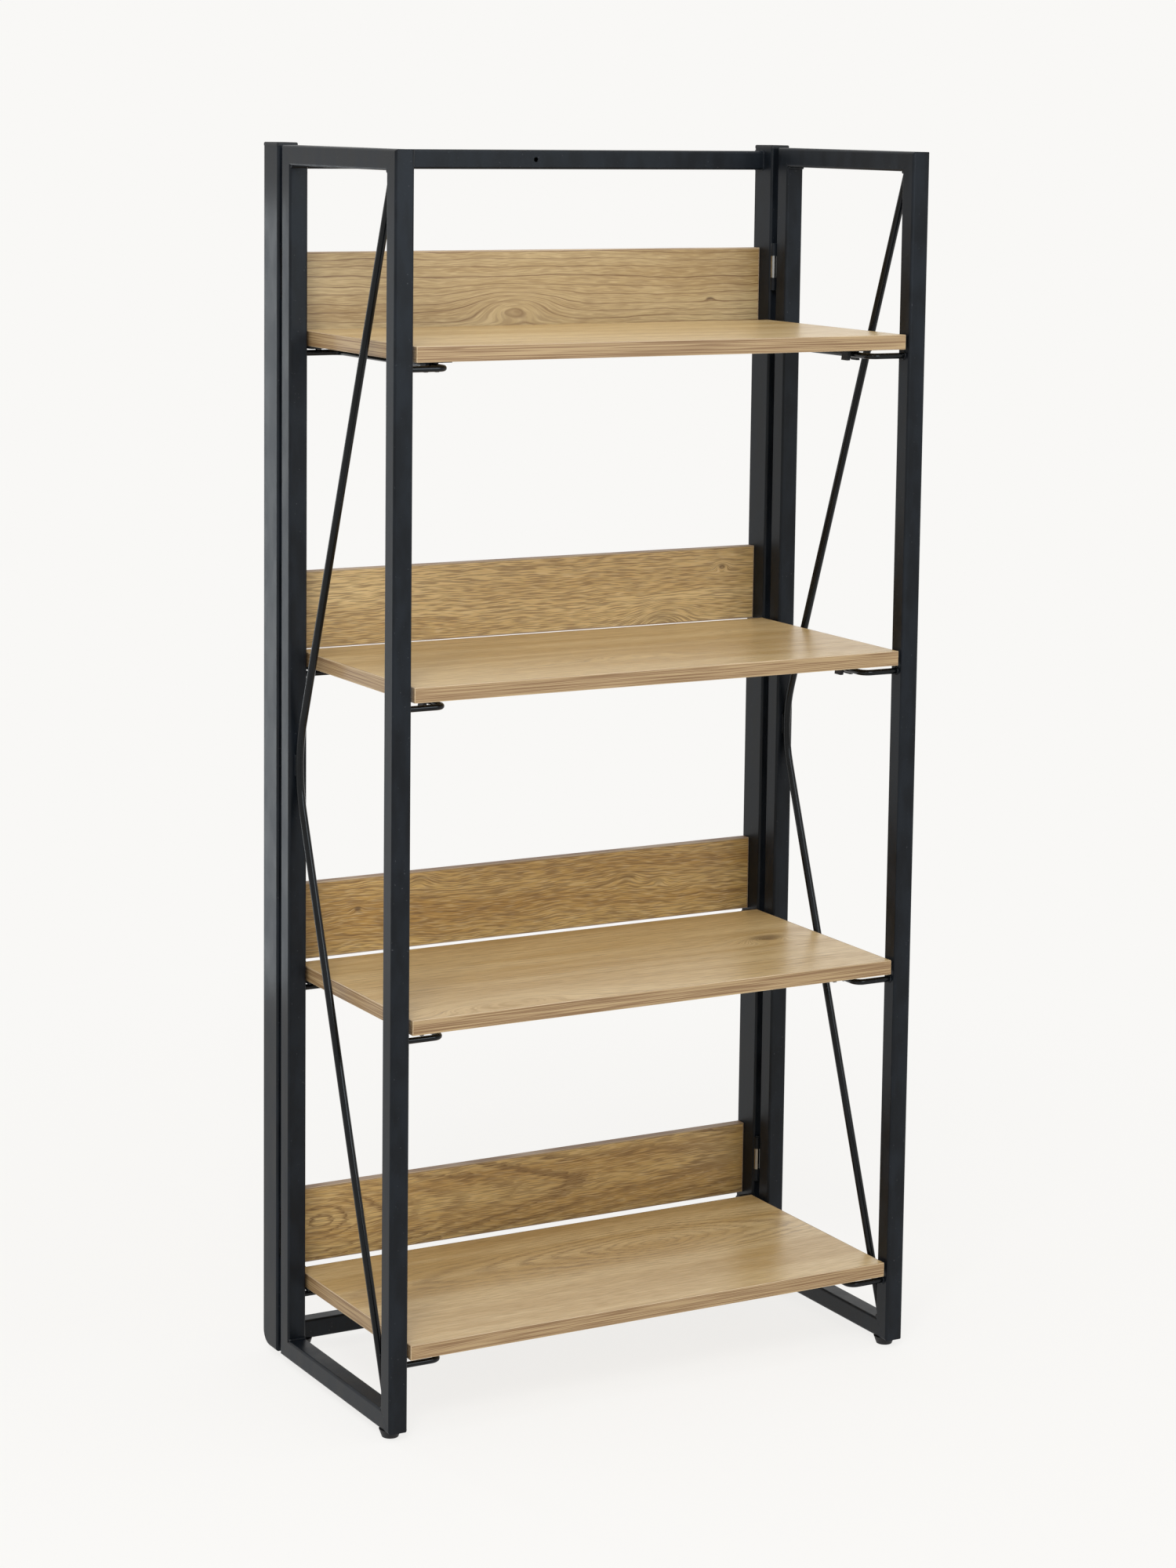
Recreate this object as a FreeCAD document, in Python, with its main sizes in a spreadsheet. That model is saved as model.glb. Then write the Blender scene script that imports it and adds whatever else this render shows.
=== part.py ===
"""Folding bookcase: a steel back frame, two hinged side frames and four tip-up oak shelves.

Frame: +X to the right seen from the front, -Y to the front, +Z up, millimetres.
The origin is on the floor, in the middle of the width and of the depth.
"""
import FreeCAD
import Part
import Sketcher
import math
import os
import re

# Driving dimensions, all in millimetres, and the number of shelves.
SHELVES = 4
SIZES = {
    # the whole bookcase
    "total_width": 600,
    "total_depth": 300,
    "frame_top": 1250,
    "floor_gap": 8,
    # side frames: mitred square tube
    "tube_side": 20,
    "tube_wall": 1.2,
    "tube_round": 2.5,
    "fold_gap": 8.5,
    # back posts, their caps and plugs
    "post_width": 22,
    "post_depth": 35,
    "post_short": 1,
    "post_heel": 15,
    "cap_height": 3.5,
    "cap_lip": 0.4,
    "cap_bevel": 1,
    "spigot_length": 12,
    "spigot_play": 0.2,
    "plug_length": 22,
    # back rails
    "rail_height": 20,
    "rail_depth": 18,
    "rail_inset": 0.5,
    "top_rail_drop": 4,
    "low_rail_rise": 1.5,
    "wall_hole_radius": 2.5,
    # shelves
    "shelf_thick": 15,
    "shelf_low": 94,
    "top_space": 184,
    "shelf_front": 1,
    "shelf_end_gap": 3.6,
    "shelf_edge": 0.6,
    # upstand boards behind the shelves
    "board_height": 79.5,
    "board_low": 3,
    "board_thick": 11,
    "board_rear": 3,
    "board_slack": 0.2,
    "board_round": 2,
    "tab_thick": 1.5,
    "tab_width": 20,
    "tab_height": 50,
    "screw_radius": 1.9,
    "screw_head_radius": 3.6,
    "screw_head": 1.2,
    "screw_length": 9,
    "screw_play": 0.1,
    # support wires and the clips that grip them
    "wire_radius": 3,
    "wire_reach": 40,
    "wire_bend": 9,
    "clip_plate": 3.5,
    "clip_length": 40,
    "clip_width": 22,
    "clip_round": 3,
    "clip_play": 0.3,
    "clip_back": 47,
    "jaw_length": 11,
    "jaw_thick": 3.2,
    "jaw_drop": 3,
    "jaw_flare": 1.2,
    # bent brace rods
    "brace_radius": 4,
    "brace_bend": 130,
    "brace_foot": 21,
    "brace_play": 0.05,
    # shelf pivots
    "pin_radius": 2.5,
    "pin_grip": 0.02,
    "pin_play": 0.05,
    "eye_radius": 6,
    "eye_width": 12,
    "bracket_thick": 2.5,
    "bracket_reach": 26,
    "bracket_width": 24,
    "stow_play": 0.6,
    "bush_wall": 1.5,
    "bush_reach": 8,
    "flange_radius": 5.6,
    "flange_thick": 1,
    # feet
    "glide_top_radius": 11.2,
    "glide_foot_radius": 8.2,
    "glide_back": 18,
    "back_foot_in": 40,
    "stud_radius": 3,
    "stud_height": 5,
    "stud_play": 0.1,
    # butt hinges between the back posts and the side frames
    "leaf_thick": 2,
    "leaf_width": 14,
    "leaf_height": 50,
    "knuckle_radius": 3,
    "knuckle_play": 0.3,
    "middle_knuckle": 23,
    "hinge_pin_radius": 1.6,
    "hinge_low": 136,
    "hinge_drop": 127,
}

# Places worked out from the driving dimensions.
PLACES = {
    "half_width": "total_width / 2",
    "front": "-total_depth / 2",
    "rear": "total_depth / 2",
    "tube_x": "half_width - tube_side / 2",
    "tube_inner": "half_width - tube_side",
    "tube_bore": "tube_side / 2 - tube_wall",
    "post_x": "half_width - post_width / 2",
    "post_inner": "half_width - post_width",
    "post_front": "rear - post_depth",
    "post_height": "frame_top - post_short - floor_gap",
    "post_bore": "post_width / 2 - tube_wall",
    "frame_rear": "post_front - fold_gap",
    "frame_depth": "frame_rear - front",
    "frame_height": "frame_top - floor_gap",
    "rail_rear": "rear - rail_inset",
    "low_rail_z": "floor_gap + low_rail_rise",
    "shelf_half": "tube_inner - shelf_end_gap",
    "shelf_pitch": "(frame_top - top_space - shelf_low) / %d" % (SHELVES - 1),
    "shelf_depth": "post_front - front - shelf_front",
    "pivot_y": "rail_rear - rail_depth - stow_play - shelf_thick / 2",
    "pivot_low": "shelf_low - shelf_thick / 2",
    "pivot_behind": "pivot_y - post_front",
    "board_half": "post_inner - board_slack",
    "tab_x": "post_inner - tab_width / 2",
    "wire_drop": "shelf_thick + clip_plate + clip_play + wire_radius",
    "wire_x": "tube_inner - wire_reach",
    "wire_half": "(frame_depth - tube_side) / 2",
    "wire_mid": "front + frame_depth / 2",
    "jaw_inner": "wire_radius + clip_play",
    "brace_height": "frame_height - 2 * tube_side",
    "brace_apex": "frame_depth - tube_side - brace_radius - brace_play",
    "bush_radius": "pin_radius + pin_play + bush_wall",
    "hinge_x": "shelf_half + knuckle_radius + 2 * knuckle_play",
    "hinge_y": "(post_front + frame_rear) / 2",
    "hinge_high": "frame_top - hinge_drop",
    "leaf_start": "knuckle_radius + knuckle_play",
    "outer_start": "middle_knuckle / 2 + knuckle_play",
}

SIDES = (("left", -1), ("right", 1))
X_DIRECTION = FreeCAD.Vector(1, 0, 0)
Y_DIRECTION = FreeCAD.Vector(0, 1, 0)
Z_DIRECTION = FreeCAD.Vector(0, 0, 1)

doc = FreeCAD.newDocument("FoldingBookcase")


def qualified(formula):
    """Return a formula with each alias led by the name of its sheet."""

    def lead(match):
        word = match.group()
        if word in SIZES:
            return "Sizes." + word
        if word in PLACES:
            return "Places." + word
        return word

    return re.sub(r"[a-z]\w*", lead, formula)


def write_sheet(name, rows):
    """Make a spreadsheet with one named value a row."""
    sheet = doc.addObject("Spreadsheet::Sheet", name)
    for row, (alias, content) in enumerate(rows, 1):
        sheet.set("A%d" % row, alias)
        sheet.set("B%d" % row, content)
        sheet.setAlias("B%d" % row, alias)
    return sheet


sizes = write_sheet("Sizes", [(alias, str(number)) for alias, number in SIZES.items()])
places = write_sheet("Places", [(alias, "=" + qualified(rule)) for alias, rule in PLACES.items()])
doc.recompute()


def number_of(alias):
    """Return the present number of an alias."""
    sheet = sizes if alias in SIZES else places
    return float(sheet.get(alias))


def bind(target, path, formula):
    """Bind a property of an object to a formula of the sheets."""
    target.setExpression(path, qualified(formula))


def signed(side, formula):
    """Return the formula as it stands on the right, or its opposite on the left."""
    return formula if side > 0 else "-(" + formula + ")"


class Outline:
    """A sketch on one of its body's own origin planes, with every size bound to the sheets."""

    def __init__(self, body, name, plane, offset="0"):
        self.sketch = body.newObject("Sketcher::SketchObject", name)
        support = [feature for feature in body.Origin.OriginFeatures if feature.Role == plane][0]
        self.sketch.AttachmentSupport = [(support, "")]
        self.sketch.MapMode = "FlatFace"
        bind(self.sketch, "AttachmentOffset.Base.z", offset)

    def dimension(self, formula, *constraint):
        """Add a constraint whose number comes from a formula."""
        index = self.sketch.addConstraint(Sketcher.Constraint(*constraint))
        bind(self.sketch, "Constraints[%d]" % index, formula)

    def fix(self, shape, point, across, up):
        """Bind both coordinates of one point of a shape."""
        spot = self.sketch.getPoint(shape, point)
        self.dimension(across, "DistanceX", -1, 1, shape, point, spot.x)
        self.dimension(up, "DistanceY", -1, 1, shape, point, spot.y)

    def polygon(self, corners):
        """Draw a closed outline through corners given as pairs of formulas."""
        count = len(corners)
        start = self.sketch.GeometryCount
        ring = [2 * math.pi * number / count for number in range(count)]
        spots = [FreeCAD.Vector(10 * math.cos(angle), 10 * math.sin(angle), 0) for angle in ring]
        for number in range(count):
            self.sketch.addGeometry(Part.LineSegment(spots[number], spots[(number + 1) % count]))
        for number in range(count):
            following = start + (number + 1) % count
            self.sketch.addConstraint(Sketcher.Constraint("Coincident", start + number, 2, following, 1))
        for number, (across, up) in enumerate(corners):
            self.fix(start + number, 1, across, up)
        return self

    def rectangle(self, left, right, low, high):
        """Draw a rectangle between two pairs of formulas."""
        return self.polygon([(left, low), (right, low), (right, high), (left, high)])

    def circle(self, across, up, radius):
        """Draw a circle with its centre and radius given as formulas."""
        shape = self.sketch.addGeometry(Part.Circle(FreeCAD.Vector(1, 1, 0), Z_DIRECTION, 1))
        self.fix(shape, 3, across, up)
        self.dimension(radius, "Radius", shape, 1)
        return self


def new_body(label, x="0", y="0", z="0", axis=Z_DIRECTION, angle=0):
    """Start a sub-part at a place bound to the sheets."""
    body = doc.addObject("PartDesign::Body", label)
    body.Label = label
    body.AllowCompound = True
    body.Placement = FreeCAD.Placement(FreeCAD.Vector(0, 0, 0), FreeCAD.Rotation(axis, angle))
    for path, formula in (("x", x), ("y", y), ("z", z)):
        bind(body, "Placement.Base." + path, formula)
    return body


def pad(body, outline, length, side_type="One side", backward=False):
    """Add the outline's area along its normal."""
    feature = body.newObject("PartDesign::Pad", body.Label + "_pad")
    feature.Profile = outline.sketch
    feature.SideType = side_type
    feature.Reversed = backward
    bind(feature, "Length", length)
    doc.recompute()
    return feature


def pocket(body, outline, length=None, side_type="One side", backward=False):
    """Cut the outline's area out against its normal, right through where no length is given."""
    before = body.Shape.Volume
    feature = body.newObject("PartDesign::Pocket", body.Label + "_pocket")
    feature.Profile = outline.sketch
    feature.SideType = side_type
    feature.Reversed = backward
    if length is None:
        feature.Type = "ThroughAll"
    else:
        bind(feature, "Length", length)
    doc.recompute()
    if not body.Shape.Volume < before:
        raise RuntimeError(body.Label + ": a pocket cuts nothing")
    return feature


def revolve(body, outline, axis_name):
    """Turn the outline a full turn about one of its own axes."""
    feature = body.newObject("PartDesign::Revolution", body.Label + "_turned")
    feature.Profile = outline.sketch
    feature.ReferenceAxis = (outline.sketch, [axis_name])
    feature.Angle = 360
    doc.recompute()
    return feature


def fillet(body, base, edges, radius):
    """Round the named edges of a feature."""
    feature = body.newObject("PartDesign::Fillet", body.Label + "_fillet")
    feature.Base = (base, edges)
    bind(feature, "Radius", radius)
    doc.recompute()
    return feature


def chamfer(body, base, edges, size):
    """Bevel the named edges of a feature."""
    feature = body.newObject("PartDesign::Chamfer", body.Label + "_chamfer")
    feature.Base = (base, edges)
    bind(feature, "Size", size)
    doc.recompute()
    return feature


def mirror_across_middle(body):
    """Repeat the whole sub-part on the other side of its YZ plane."""
    feature = body.newObject("PartDesign::Mirrored", body.Label + "_mirrored")
    feature.TransformMode = "Whole shape"
    plane = [datum for datum in body.Origin.OriginFeatures if datum.Role == "YZ_Plane"][0]
    feature.MirrorPlane = (plane, [""])
    body.Tip = feature
    doc.recompute()
    return feature


def repeat_upward(body, originals, count, spacing):
    """Repeat features, or the whole sub-part where none are given, at equal heights."""
    feature = body.newObject("PartDesign::LinearPattern", body.Label + "_pattern")
    if originals:
        feature.Originals = originals
    else:
        feature.TransformMode = "Whole shape"
    axis = [datum for datum in body.Origin.OriginFeatures if datum.Role == "Z_Axis"][0]
    feature.Direction = (axis, [""])
    feature.Mode = "Spacing"
    bind(feature, "Offset", spacing)
    feature.Occurrences = count
    body.Tip = feature
    doc.recompute()
    return feature


def straight_edges(feature, direction, wanted=None):
    """Name the straight edges that lie along a direction, and whose middle is wanted."""
    names = []
    for number, edge in enumerate(feature.Shape.Edges, 1):
        if edge.Curve.TypeId != "Part::GeomLine":
            continue
        along = abs(edge.tangentAt(edge.FirstParameter).dot(direction))
        if along > 0.999 and (wanted is None or wanted(edge.CenterOfMass)):
            names.append("Edge%d" % number)
    return names


def level(shelf):
    """Return the height of a shelf above the lowest one, shelf 1 being the top one."""
    return "%d * shelf_pitch" % (SHELVES - shelf)


def make_mitred_tube(label, length, x, y, z, angle, glide_hole=None):
    """Make one member of a side frame: square tube with both ends mitred.

    Unturned it stands up, with its outer face to the front. It turns about X to its own side of
    the frame.
    """
    body = new_body(label, x, y, z, X_DIRECTION, angle)
    corners = [("0", "0"), ("tube_side", "tube_side"), ("tube_side", length + " - tube_side"), ("0", length)]
    bar = pad(body, Outline(body, label + "_side", "YZ_Plane").polygon(corners), "tube_side", "Symmetric")
    fillet(body, bar, straight_edges(bar, Z_DIRECTION), "tube_round")
    bore = Outline(body, label + "_bore", "XY_Plane")
    bore.rectangle("-tube_bore", "tube_bore", "tube_wall", "tube_side - tube_wall")
    pocket(body, bore, backward=True)
    if glide_hole:
        hole = Outline(body, label + "_hole", "XZ_Plane").circle("0", glide_hole, "stud_radius + stud_play")
        pocket(body, hole, "2 * tube_wall")


def make_side_frame(name, side):
    """Make the four members of one side frame."""
    x = signed(side, "tube_x")
    make_mitred_tube(name + "_front_post", "frame_height", x, "front", "floor_gap", 0)
    make_mitred_tube(name + "_rear_post", "frame_height", x, "frame_rear", "frame_top", 180)
    make_mitred_tube(name + "_top_rail", "frame_depth", x, "front", "frame_top", -90)
    glide_hole = "frame_depth - glide_back"
    make_mitred_tube(name + "_bottom_rail", "frame_depth", x, "frame_rear", "floor_gap", 90, glide_hole)


def sweep_rod(body, path, radius):
    """Sweep a round section along a path from the start of its first edge."""
    section = body.newObject("Sketcher::SketchObject", body.Label + "_section")
    section.AttachmentSupport = [(path, "Edge1")]
    section.MapMode = "NormalToEdge"
    section.MapPathParameter = 0
    section.addGeometry(Part.Circle(FreeCAD.Vector(0, 0, 0), Z_DIRECTION, number_of(radius)))
    section.addConstraint(Sketcher.Constraint("Coincident", 0, 3, -1, 1))
    index = section.addConstraint(Sketcher.Constraint("Radius", 0, number_of(radius)))
    bind(section, "Constraints[%d]" % index, radius)
    rod = body.newObject("PartDesign::AdditivePipe", body.Label + "_rod")
    rod.Profile = section
    rod.Spine = path
    doc.recompute()
    return rod


def join_tangent(sketch, pairs):
    """Join shapes end to start, without a corner."""
    for first, first_end, second, second_end in pairs:
        sketch.addConstraint(Sketcher.Constraint("Tangent", first, first_end, second, second_end))


def make_support_wire(label, side, z):
    """Make the wire that runs in from the front post, back along the shelf and out to the rear post."""
    body = new_body(label, signed(side, "tube_inner"), "wire_mid", z)
    outline = Outline(body, label + "_path", "XY_Plane")
    sketch = outline.sketch
    half = number_of("wire_half")
    bend = number_of("wire_bend")
    reach = -side * number_of("wire_reach")
    turn = reach + side * bend
    first_bend = FreeCAD.Vector(turn, bend - half, 0)
    second_bend = FreeCAD.Vector(turn, half - bend, 0)
    sketch.addGeometry(Part.LineSegment(FreeCAD.Vector(0, -half, 0), FreeCAD.Vector(turn, -half, 0)))
    sketch.addGeometry(Part.LineSegment(FreeCAD.Vector(reach, bend - half, 0), FreeCAD.Vector(reach, half - bend, 0)))
    sketch.addGeometry(Part.LineSegment(FreeCAD.Vector(turn, half, 0), FreeCAD.Vector(0, half, 0)))
    quarter = math.pi / 2
    if side > 0:
        sketch.addGeometry(Part.ArcOfCircle(Part.Circle(first_bend, Z_DIRECTION, bend), 2 * quarter, 3 * quarter))
        sketch.addGeometry(Part.ArcOfCircle(Part.Circle(second_bend, Z_DIRECTION, bend), quarter, 2 * quarter))
        join_tangent(sketch, ((0, 2, 3, 2), (3, 1, 1, 1), (1, 2, 4, 2), (4, 1, 2, 1)))
    else:
        sketch.addGeometry(Part.ArcOfCircle(Part.Circle(first_bend, Z_DIRECTION, bend), -quarter, 0))
        sketch.addGeometry(Part.ArcOfCircle(Part.Circle(second_bend, Z_DIRECTION, bend), 0, quarter))
        join_tangent(sketch, ((0, 2, 3, 1), (3, 2, 1, 1), (1, 2, 4, 1), (4, 2, 2, 1)))
    outline.fix(0, 1, "0", "-wire_half")
    outline.fix(2, 2, "0", "wire_half")
    sketch.addConstraint(Sketcher.Constraint("Horizontal", 0))
    sketch.addConstraint(Sketcher.Constraint("Vertical", 1))
    sketch.addConstraint(Sketcher.Constraint("Horizontal", 2))
    outline.dimension(signed(-side, "wire_reach"), "DistanceX", -1, 1, 1, 1, reach)
    outline.dimension("wire_bend", "Radius", 3, bend)
    sweep_rod(body, sketch, "wire_radius")


def make_brace_rod(label, side):
    """Make the rod bent to a wide V between the front corners and the middle of the rear post."""
    body = new_body(label, signed(side, "tube_x"), "front", "floor_gap + tube_side")
    outline = Outline(body, label + "_path", "YZ_Plane")
    sketch = outline.sketch
    foot = number_of("brace_foot")
    overrun = number_of("tube_side") / 2
    height = number_of("brace_height")
    bend = number_of("brace_bend")
    centre = FreeCAD.Vector(number_of("brace_apex") - bend, height / 2, 0)
    start = FreeCAD.Vector(foot, -overrun, 0)
    reach = centre - start
    lean = math.atan2(reach.y, reach.x) - math.acos(bend / reach.Length)
    touch = centre + FreeCAD.Vector(bend * math.cos(lean), bend * math.sin(lean), 0)
    opposite = FreeCAD.Vector(touch.x, height - touch.y, 0)
    sketch.addGeometry(Part.LineSegment(start, touch))
    sketch.addGeometry(Part.ArcOfCircle(Part.Circle(centre, Z_DIRECTION, bend), lean, -lean))
    sketch.addGeometry(Part.LineSegment(opposite, FreeCAD.Vector(foot, height + overrun, 0)))
    join_tangent(sketch, ((0, 2, 1, 1), (1, 2, 2, 1)))
    outline.fix(0, 1, "brace_foot", "-tube_side / 2")
    outline.fix(2, 2, "brace_foot", "brace_height + tube_side / 2")
    outline.dimension("brace_bend", "Radius", 1, bend)
    outline.fix(1, 3, "brace_apex - brace_bend", "brace_height / 2")
    sweep_rod(body, sketch, "brace_radius")
    ends = Outline(body, label + "_ends", "YZ_Plane")
    ends.rectangle("0", "3 * tube_side", "-tube_side", "0")
    ends.rectangle("0", "3 * tube_side", "brace_height", "brace_height + tube_side")
    pocket(body, ends, side_type="Symmetric")


def make_back_post(label, side):
    """Make a back post: deep tube with a rounded heel and a bore for each shelf's pivot."""
    body = new_body(label, signed(side, "post_x"), "rear", "floor_gap")
    section = Outline(body, label + "_section", "XY_Plane")
    section.rectangle("-post_width / 2", "post_width / 2", "-post_depth", "0")
    bar = pad(body, section, "post_height")
    heel = straight_edges(bar, X_DIRECTION, lambda middle: middle.z < 1 and middle.y > -1)
    heeled = fillet(body, bar, heel, "post_heel")
    fillet(body, heeled, straight_edges(heeled, Z_DIRECTION), "tube_round")
    bore = Outline(body, label + "_bore", "XY_Plane")
    bore.rectangle("-post_bore", "post_bore", "tube_wall - post_depth", "-tube_wall")
    pocket(body, bore, backward=True)
    hole = Outline(body, label + "_hole", "YZ_Plane")
    hole.circle("pivot_y - rear", "pivot_low - floor_gap", "bush_radius + pin_play")
    drilled = pocket(body, hole, "post_width / 2", backward=side < 0)
    repeat_upward(body, [drilled], SHELVES, "shelf_pitch")


def make_post_cap(label, side):
    """Make the cap of a back post, with the spigot that holds it in the tube."""
    body = new_body(label, signed(side, "post_x"), "rear", "frame_top - post_short")
    lid = Outline(body, label + "_lid", "XY_Plane")
    lid.rectangle("-post_width / 2 - cap_lip", "post_width / 2 + cap_lip", "-post_depth - cap_lip", "0")
    plate = pad(body, lid, "cap_height")
    rounded = fillet(body, plate, straight_edges(plate, Z_DIRECTION), "tube_round")
    top = number_of("cap_height")
    rim = ["Edge%d" % number for number, edge in enumerate(rounded.Shape.Edges, 1)
           if edge.BoundBox.ZMin > top - 0.01]
    chamfer(body, rounded, rim, "cap_bevel")
    spigot = Outline(body, label + "_spigot", "XY_Plane")
    spigot.rectangle("spigot_play - post_bore", "post_bore - spigot_play",
                     "tube_wall + spigot_play - post_depth", "-tube_wall - spigot_play")
    pad(body, spigot, "spigot_length", backward=True)


def make_post_plug(label, side):
    """Make the plug that closes the foot end of a back post, with the same heel."""
    body = new_body(label, signed(side, "post_x"), "rear", "floor_gap")
    section = Outline(body, label + "_section", "XY_Plane")
    section.rectangle("spigot_play - post_bore", "post_bore - spigot_play",
                      "tube_wall + spigot_play - post_depth", "-tube_wall - spigot_play")
    block = pad(body, section, "plug_length")
    inside = -2 * number_of("tube_wall")
    heel = straight_edges(block, X_DIRECTION, lambda middle: middle.z < 1 and middle.y > inside)
    fillet(body, block, heel, "post_heel - tube_wall - spigot_play")


def make_back_rail(label, z, wall_hole=False):
    """Make a rail between the back posts."""
    body = new_body(label, y="rail_rear", z=z)
    section = Outline(body, label + "_section", "YZ_Plane").rectangle("-rail_depth", "0", "0", "rail_height")
    bar = pad(body, section, "2 * post_inner", "Symmetric")
    fillet(body, bar, straight_edges(bar, X_DIRECTION), "tube_round")
    bore = Outline(body, label + "_bore", "YZ_Plane")
    bore.rectangle("tube_wall - rail_depth", "-tube_wall", "tube_wall", "rail_height - tube_wall")
    pocket(body, bore, side_type="Symmetric")
    if wall_hole:
        hole = Outline(body, label + "_hole", "XZ_Plane").circle("0", "rail_height / 2", "wall_hole_radius")
        pocket(body, hole, side_type="Symmetric")
    else:
        holes = Outline(body, label + "_holes", "XY_Plane")
        for side in (-1, 1):
            across = signed(side, "half_width - back_foot_in")
            holes.circle(across, "-rail_depth / 2", "stud_radius + stud_play")
        pocket(body, holes, "2 * tube_wall", backward=True)


def make_foot(label, x, y, height):
    """Make a tapered foot with the stud that goes up into its tube."""
    body = new_body(label, x, y)
    profile = Outline(body, label + "_profile", "XZ_Plane")
    profile.polygon([
        ("0", "0"), ("glide_foot_radius", "0"), ("glide_top_radius", height),
        ("stud_radius", height), ("stud_radius", height + " + stud_height"),
        ("0", height + " + stud_height"),
    ])
    revolve(body, profile, "V_Axis")


def make_upstand(label, shelf):
    """Make the wooden upstand behind a shelf, with pilot holes for its screws."""
    middle = "shelf_low - board_low + board_height / 2 + " + level(shelf)
    body = new_body(label, y="rear - board_rear", z=middle)
    face = Outline(body, label + "_face", "XZ_Plane")
    face.rectangle("-board_half", "board_half", "-board_height / 2", "board_height / 2")
    board = pad(body, face, "board_thick")
    fillet(body, board, straight_edges(board, Y_DIRECTION, lambda spot: spot.z > 0), "board_round")
    holes = Outline(body, label + "_holes", "XZ_Plane")
    for side in (-1, 1):
        holes.circle(signed(side, "tab_x"), "0", "screw_radius + screw_play / 2")
    pocket(body, holes, "screw_length - tab_thick + screw_play", backward=True)


def make_board_tabs(label):
    """Make the tabs on the back posts that carry the upstands."""
    body = new_body(label, y="rear - board_rear + tab_thick", z="shelf_low - board_low + board_height / 2")
    plates = Outline(body, label + "_plates", "XZ_Plane")
    for shelf in range(1, SHELVES + 1):
        for side in (-1, 1):
            outer = signed(side, "post_inner")
            inner = signed(side, "post_inner - tab_width")
            low = level(shelf) + " - tab_height / 2"
            high = level(shelf) + " + tab_height / 2"
            plates.rectangle(inner, outer, low, high)
            plates.circle(signed(side, "tab_x"), level(shelf), "screw_radius + screw_play")
    pad(body, plates, "tab_thick")


def make_board_screws(label):
    """Make the screws that go through the tabs into the upstands."""
    body = new_body(label, y="rear - board_rear + tab_thick", z="shelf_low - board_low + board_height / 2")
    shanks = Outline(body, label + "_shanks", "XZ_Plane")
    heads = Outline(body, label + "_heads", "XZ_Plane")
    for shelf in range(1, SHELVES + 1):
        for side in (-1, 1):
            across = signed(side, "tab_x")
            shanks.circle(across, level(shelf), "screw_radius")
            heads.circle(across, level(shelf), "screw_head_radius")
    pad(body, shanks, "screw_length")
    pad(body, heads, "screw_head", backward=True)


def make_hinge_leaves(label, side, inward, knuckles):
    """Make the leaves of one side's two hinges that lie on one face of the folding gap."""
    body = new_body(label, signed(side, "hinge_x"), "hinge_y", "hinge_low")
    face = signed(inward, "fold_gap / 2")
    skin = signed(inward, "fold_gap / 2 - leaf_thick")
    end = signed(side, "leaf_start + leaf_width")
    plate = Outline(body, label + "_plate", "XY_Plane").rectangle(signed(side, "leaf_start"), end, face, skin)
    pad(body, plate, "leaf_height", "Symmetric")
    web_end = signed(side, "leaf_start + leaf_thick")
    for number, (low, high) in enumerate(knuckles, 1):
        tall = high + " - (" + low + ")"
        web = Outline(body, "%s_web_%d" % (label, number), "XY_Plane", low)
        web.rectangle("0", web_end, face, signed(inward, "knuckle_radius / 2"))
        pad(body, web, tall)
        barrel = Outline(body, "%s_barrel_%d" % (label, number), "XY_Plane", low)
        barrel.circle("0", "0", "knuckle_radius")
        pad(body, barrel, tall)
    bore = Outline(body, label + "_bore", "XY_Plane").circle("0", "0", "hinge_pin_radius + pin_play")
    pocket(body, bore, side_type="Symmetric")
    repeat_upward(body, [], 2, "hinge_high - hinge_low")


def make_hinge_pins(label, side):
    """Make the pins of one side's two hinges."""
    body = new_body(label, signed(side, "hinge_x"), "hinge_y", "hinge_low")
    section = Outline(body, label + "_section", "XY_Plane").circle("0", "0", "hinge_pin_radius")
    pad(body, section, "leaf_height", "Symmetric")
    repeat_upward(body, [], 2, "hinge_high - hinge_low")


def make_pivot_bushes(label, side):
    """Make the flanged bushes in one back post, in which the shelf pins turn."""
    body = new_body(label, signed(side, "post_inner"), "pivot_y", "pivot_low")
    bore = "pin_radius + pin_play"
    profile = Outline(body, label + "_profile", "XZ_Plane")
    profile.polygon([
        (signed(-side, "flange_thick"), bore), (signed(-side, "flange_thick"), "flange_radius"),
        ("0", "flange_radius"), ("0", "bush_radius"),
        (signed(side, "bush_reach"), "bush_radius"), (signed(side, "bush_reach"), bore),
    ])
    revolve(body, profile, "H_Axis")
    repeat_upward(body, [], SHELVES, "shelf_pitch")


def make_shelf(label, shelf):
    """Make a shelf board with eased edges."""
    body = new_body(label, y="post_front", z="shelf_low + " + level(shelf))
    face = Outline(body, label + "_face", "XY_Plane").rectangle("-shelf_half", "shelf_half", "-shelf_depth", "0")
    board = pad(body, face, "shelf_thick", backward=True)
    edges = ["Edge%d" % (number + 1) for number in range(len(board.Shape.Edges))]
    chamfer(body, board, edges, "shelf_edge")


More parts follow.
